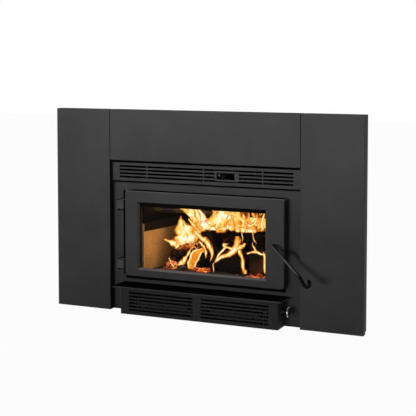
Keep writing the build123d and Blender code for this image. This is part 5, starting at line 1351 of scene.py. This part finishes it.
class HEARTH_OT_fixings(bpy.types.Operator):
    """Finish bolts, screws, clips, brackets, guides, the latch catch and the blower tray"""

    bl_idname = "hearth.fixings"
    bl_label = "Fixings"

    def execute(self, context):
        paint_nodes(
            blackened_zinc(), "blower_brackets", "blower_tray", "casing_screws", "clip_screws",
            "flue_bolts", "glass_clips", "latch_catch", "pan_screws", "seam_bolts",
            "shutter_guides", "spindle_bush", "spindle_nut", "surround_brackets",
        )
        return {"FINISHED"}


class HEARTH_OT_blower(bpy.types.Operator):
    """Finish the motor, impellers, bearings, speed control and gland"""

    bl_idname = "hearth.blower"
    bl_label = "Blower"

    def execute(self, context):
        paint_nodes(laminated_steel(), "blower_motor")
        paint_nodes(cast_aluminium(), "left_impeller", "right_impeller")
        paint_nodes(oiled_bronze(), "shaft_bushes")
        plastic = moulded_plastic("control_plastic", (0.03, 0.03, 0.032), 0.5, 700)
        paint_nodes(plastic, "speed_control")
        rubber = moulded_plastic("gland_rubber", (0.018, 0.018, 0.018), 0.7, 900)
        paint_nodes(rubber, "cord_gland")
        return {"FINISHED"}


class HEARTH_OT_handle(bpy.types.Operator):
    """Finish the handle rod, the pins, the shafts and the knobs"""

    bl_idname = "hearth.handle"
    bl_label = "Handle and knobs"

    def execute(self, context):
        metal = context.scene.hearth_metal
        low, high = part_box("handle_rod")
        across, forward, upward = CURL_MIDDLE
        rod = brushed_rod(metal, (high.x + across, low.y + forward, low.z + upward))
        for node in ("handle_rod", "hinge_pins", "control_shaft", "fan_shaft"):
            smoothed_copy(node, f"smooth_{node}", rod)
        knob = turned_knob(metal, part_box("speed_knob")[1].x - DISC_THICKNESS)
        smoothed_copy("speed_knob", "turned_speed_knob", knob)
        smoothed_copy("air_control_knob", "smooth_air_control_knob", blackened_zinc())
        return {"FINISHED"}


class HEARTH_OT_glazing(bpy.types.Operator):
    """Finish the door glass and the rope gaskets"""

    bl_idname = "hearth.glazing"
    bl_label = "Glass and gaskets"

    def execute(self, context):
        paint_nodes(ceramic_glass(), "door_glass")
        paint_nodes(gasket_rope(), "door_gasket", "glass_gasket")
        return {"FINISHED"}


class HEARTH_OT_logs(bpy.types.Operator):
    """Lay the charred logs"""

    bl_idname = "hearth.logs"
    bl_label = "Logs"

    def execute(self, context):
        lay_logs(charred_wood(context.scene.hearth_fire))
        return {"FINISHED"}


class HEARTH_OT_embers(bpy.types.Operator):
    """Spread the ember bed and its coals"""

    bl_idname = "hearth.embers"
    bl_label = "Embers"

    def execute(self, context):
        coal = glowing_coal(context.scene.hearth_fire)
        spread_ash(coal)
        scatter_coals(coal)
        return {"FINISHED"}


class HEARTH_OT_flames(bpy.types.Operator):
    """Raise the flames and their glow"""

    bl_idname = "hearth.flames"
    bl_label = "Flames"

    def execute(self, context):
        fire = context.scene.hearth_fire
        for name, (flames, rims, *pattern) in FLAMES.items():
            light_flames(name, flames, flame_sheet(fire, name, rims, *pattern))
        for name, place, share in GLOWS:
            glow = hang_lamp(name, "POINT", place, fire.glow_power * share, GLOW_RADIUS)
            glow.data.color = GLOW_COLOUR
        return {"FINISHED"}


class HEARTH_OT_stage(bpy.types.Operator):
    """Set the floor, the even light, the three lamps and the camera"""

    bl_idname = "hearth.stage"
    bl_label = "Studio"

    def execute(self, context):
        stage = context.scene.hearth_stage
        lay_floor(stage.floor_size)
        fill_air(stage.fill_level)
        for name, place, aim, multiple, radius, cone in SPOTS:
            lamp = hang_lamp(name, "SPOT", place, stage.key_power * multiple, radius)
            aim_spot(lamp, aim, cone)
        set_camera(stage.lens)
        context.scene.view_settings.view_transform = "Standard"
        return {"FINISHED"}


PIECES = (
    HEARTH_OT_painted_steel,
    HEARTH_OT_firebox,
    HEARTH_OT_casing,
    HEARTH_OT_lining,
    HEARTH_OT_fixings,
    HEARTH_OT_blower,
    HEARTH_OT_handle,
    HEARTH_OT_glazing,
    HEARTH_OT_logs,
    HEARTH_OT_embers,
    HEARTH_OT_flames,
    HEARTH_OT_stage,
)


class HEARTH_PT_panel(bpy.types.Panel):
    """Settings and pieces of the fireplace insert"""

    bl_idname = "HEARTH_PT_panel"
    bl_label = "Fireplace insert"
    bl_space_type = "VIEW_3D"
    bl_region_type = "UI"
    bl_category = "Hearth"

    def draw(self, context):
        for name, group in SETTINGS.items():
            box = self.layout.box()
            box.label(text=group.__doc__)
            for field in group.__annotations__:
                box.prop(getattr(context.scene, name), field)
        for piece in PIECES:
            self.layout.operator(piece.bl_idname)


def register():
    """Adds the settings, the operators and the panel."""
    for group in SETTINGS.values():
        bpy.utils.register_class(group)
    for name, group in SETTINGS.items():
        setattr(bpy.types.Scene, name, bpy.props.PointerProperty(type=group))
    for piece in PIECES:
        bpy.utils.register_class(piece)
    bpy.utils.register_class(HEARTH_PT_panel)


def unregister():
    """Takes them away again."""
    bpy.utils.unregister_class(HEARTH_PT_panel)
    for piece in reversed(PIECES):
        bpy.utils.unregister_class(piece)
    for name, group in reversed(SETTINGS.items()):
        delattr(bpy.types.Scene, name)
        bpy.utils.unregister_class(group)


def main():
    """Makes every piece in order."""
    register()
    for piece in PIECES:
        family, action = piece.bl_idname.split(".")
        getattr(getattr(bpy.ops, family), action)()


if __name__ == "__main__":
    main()
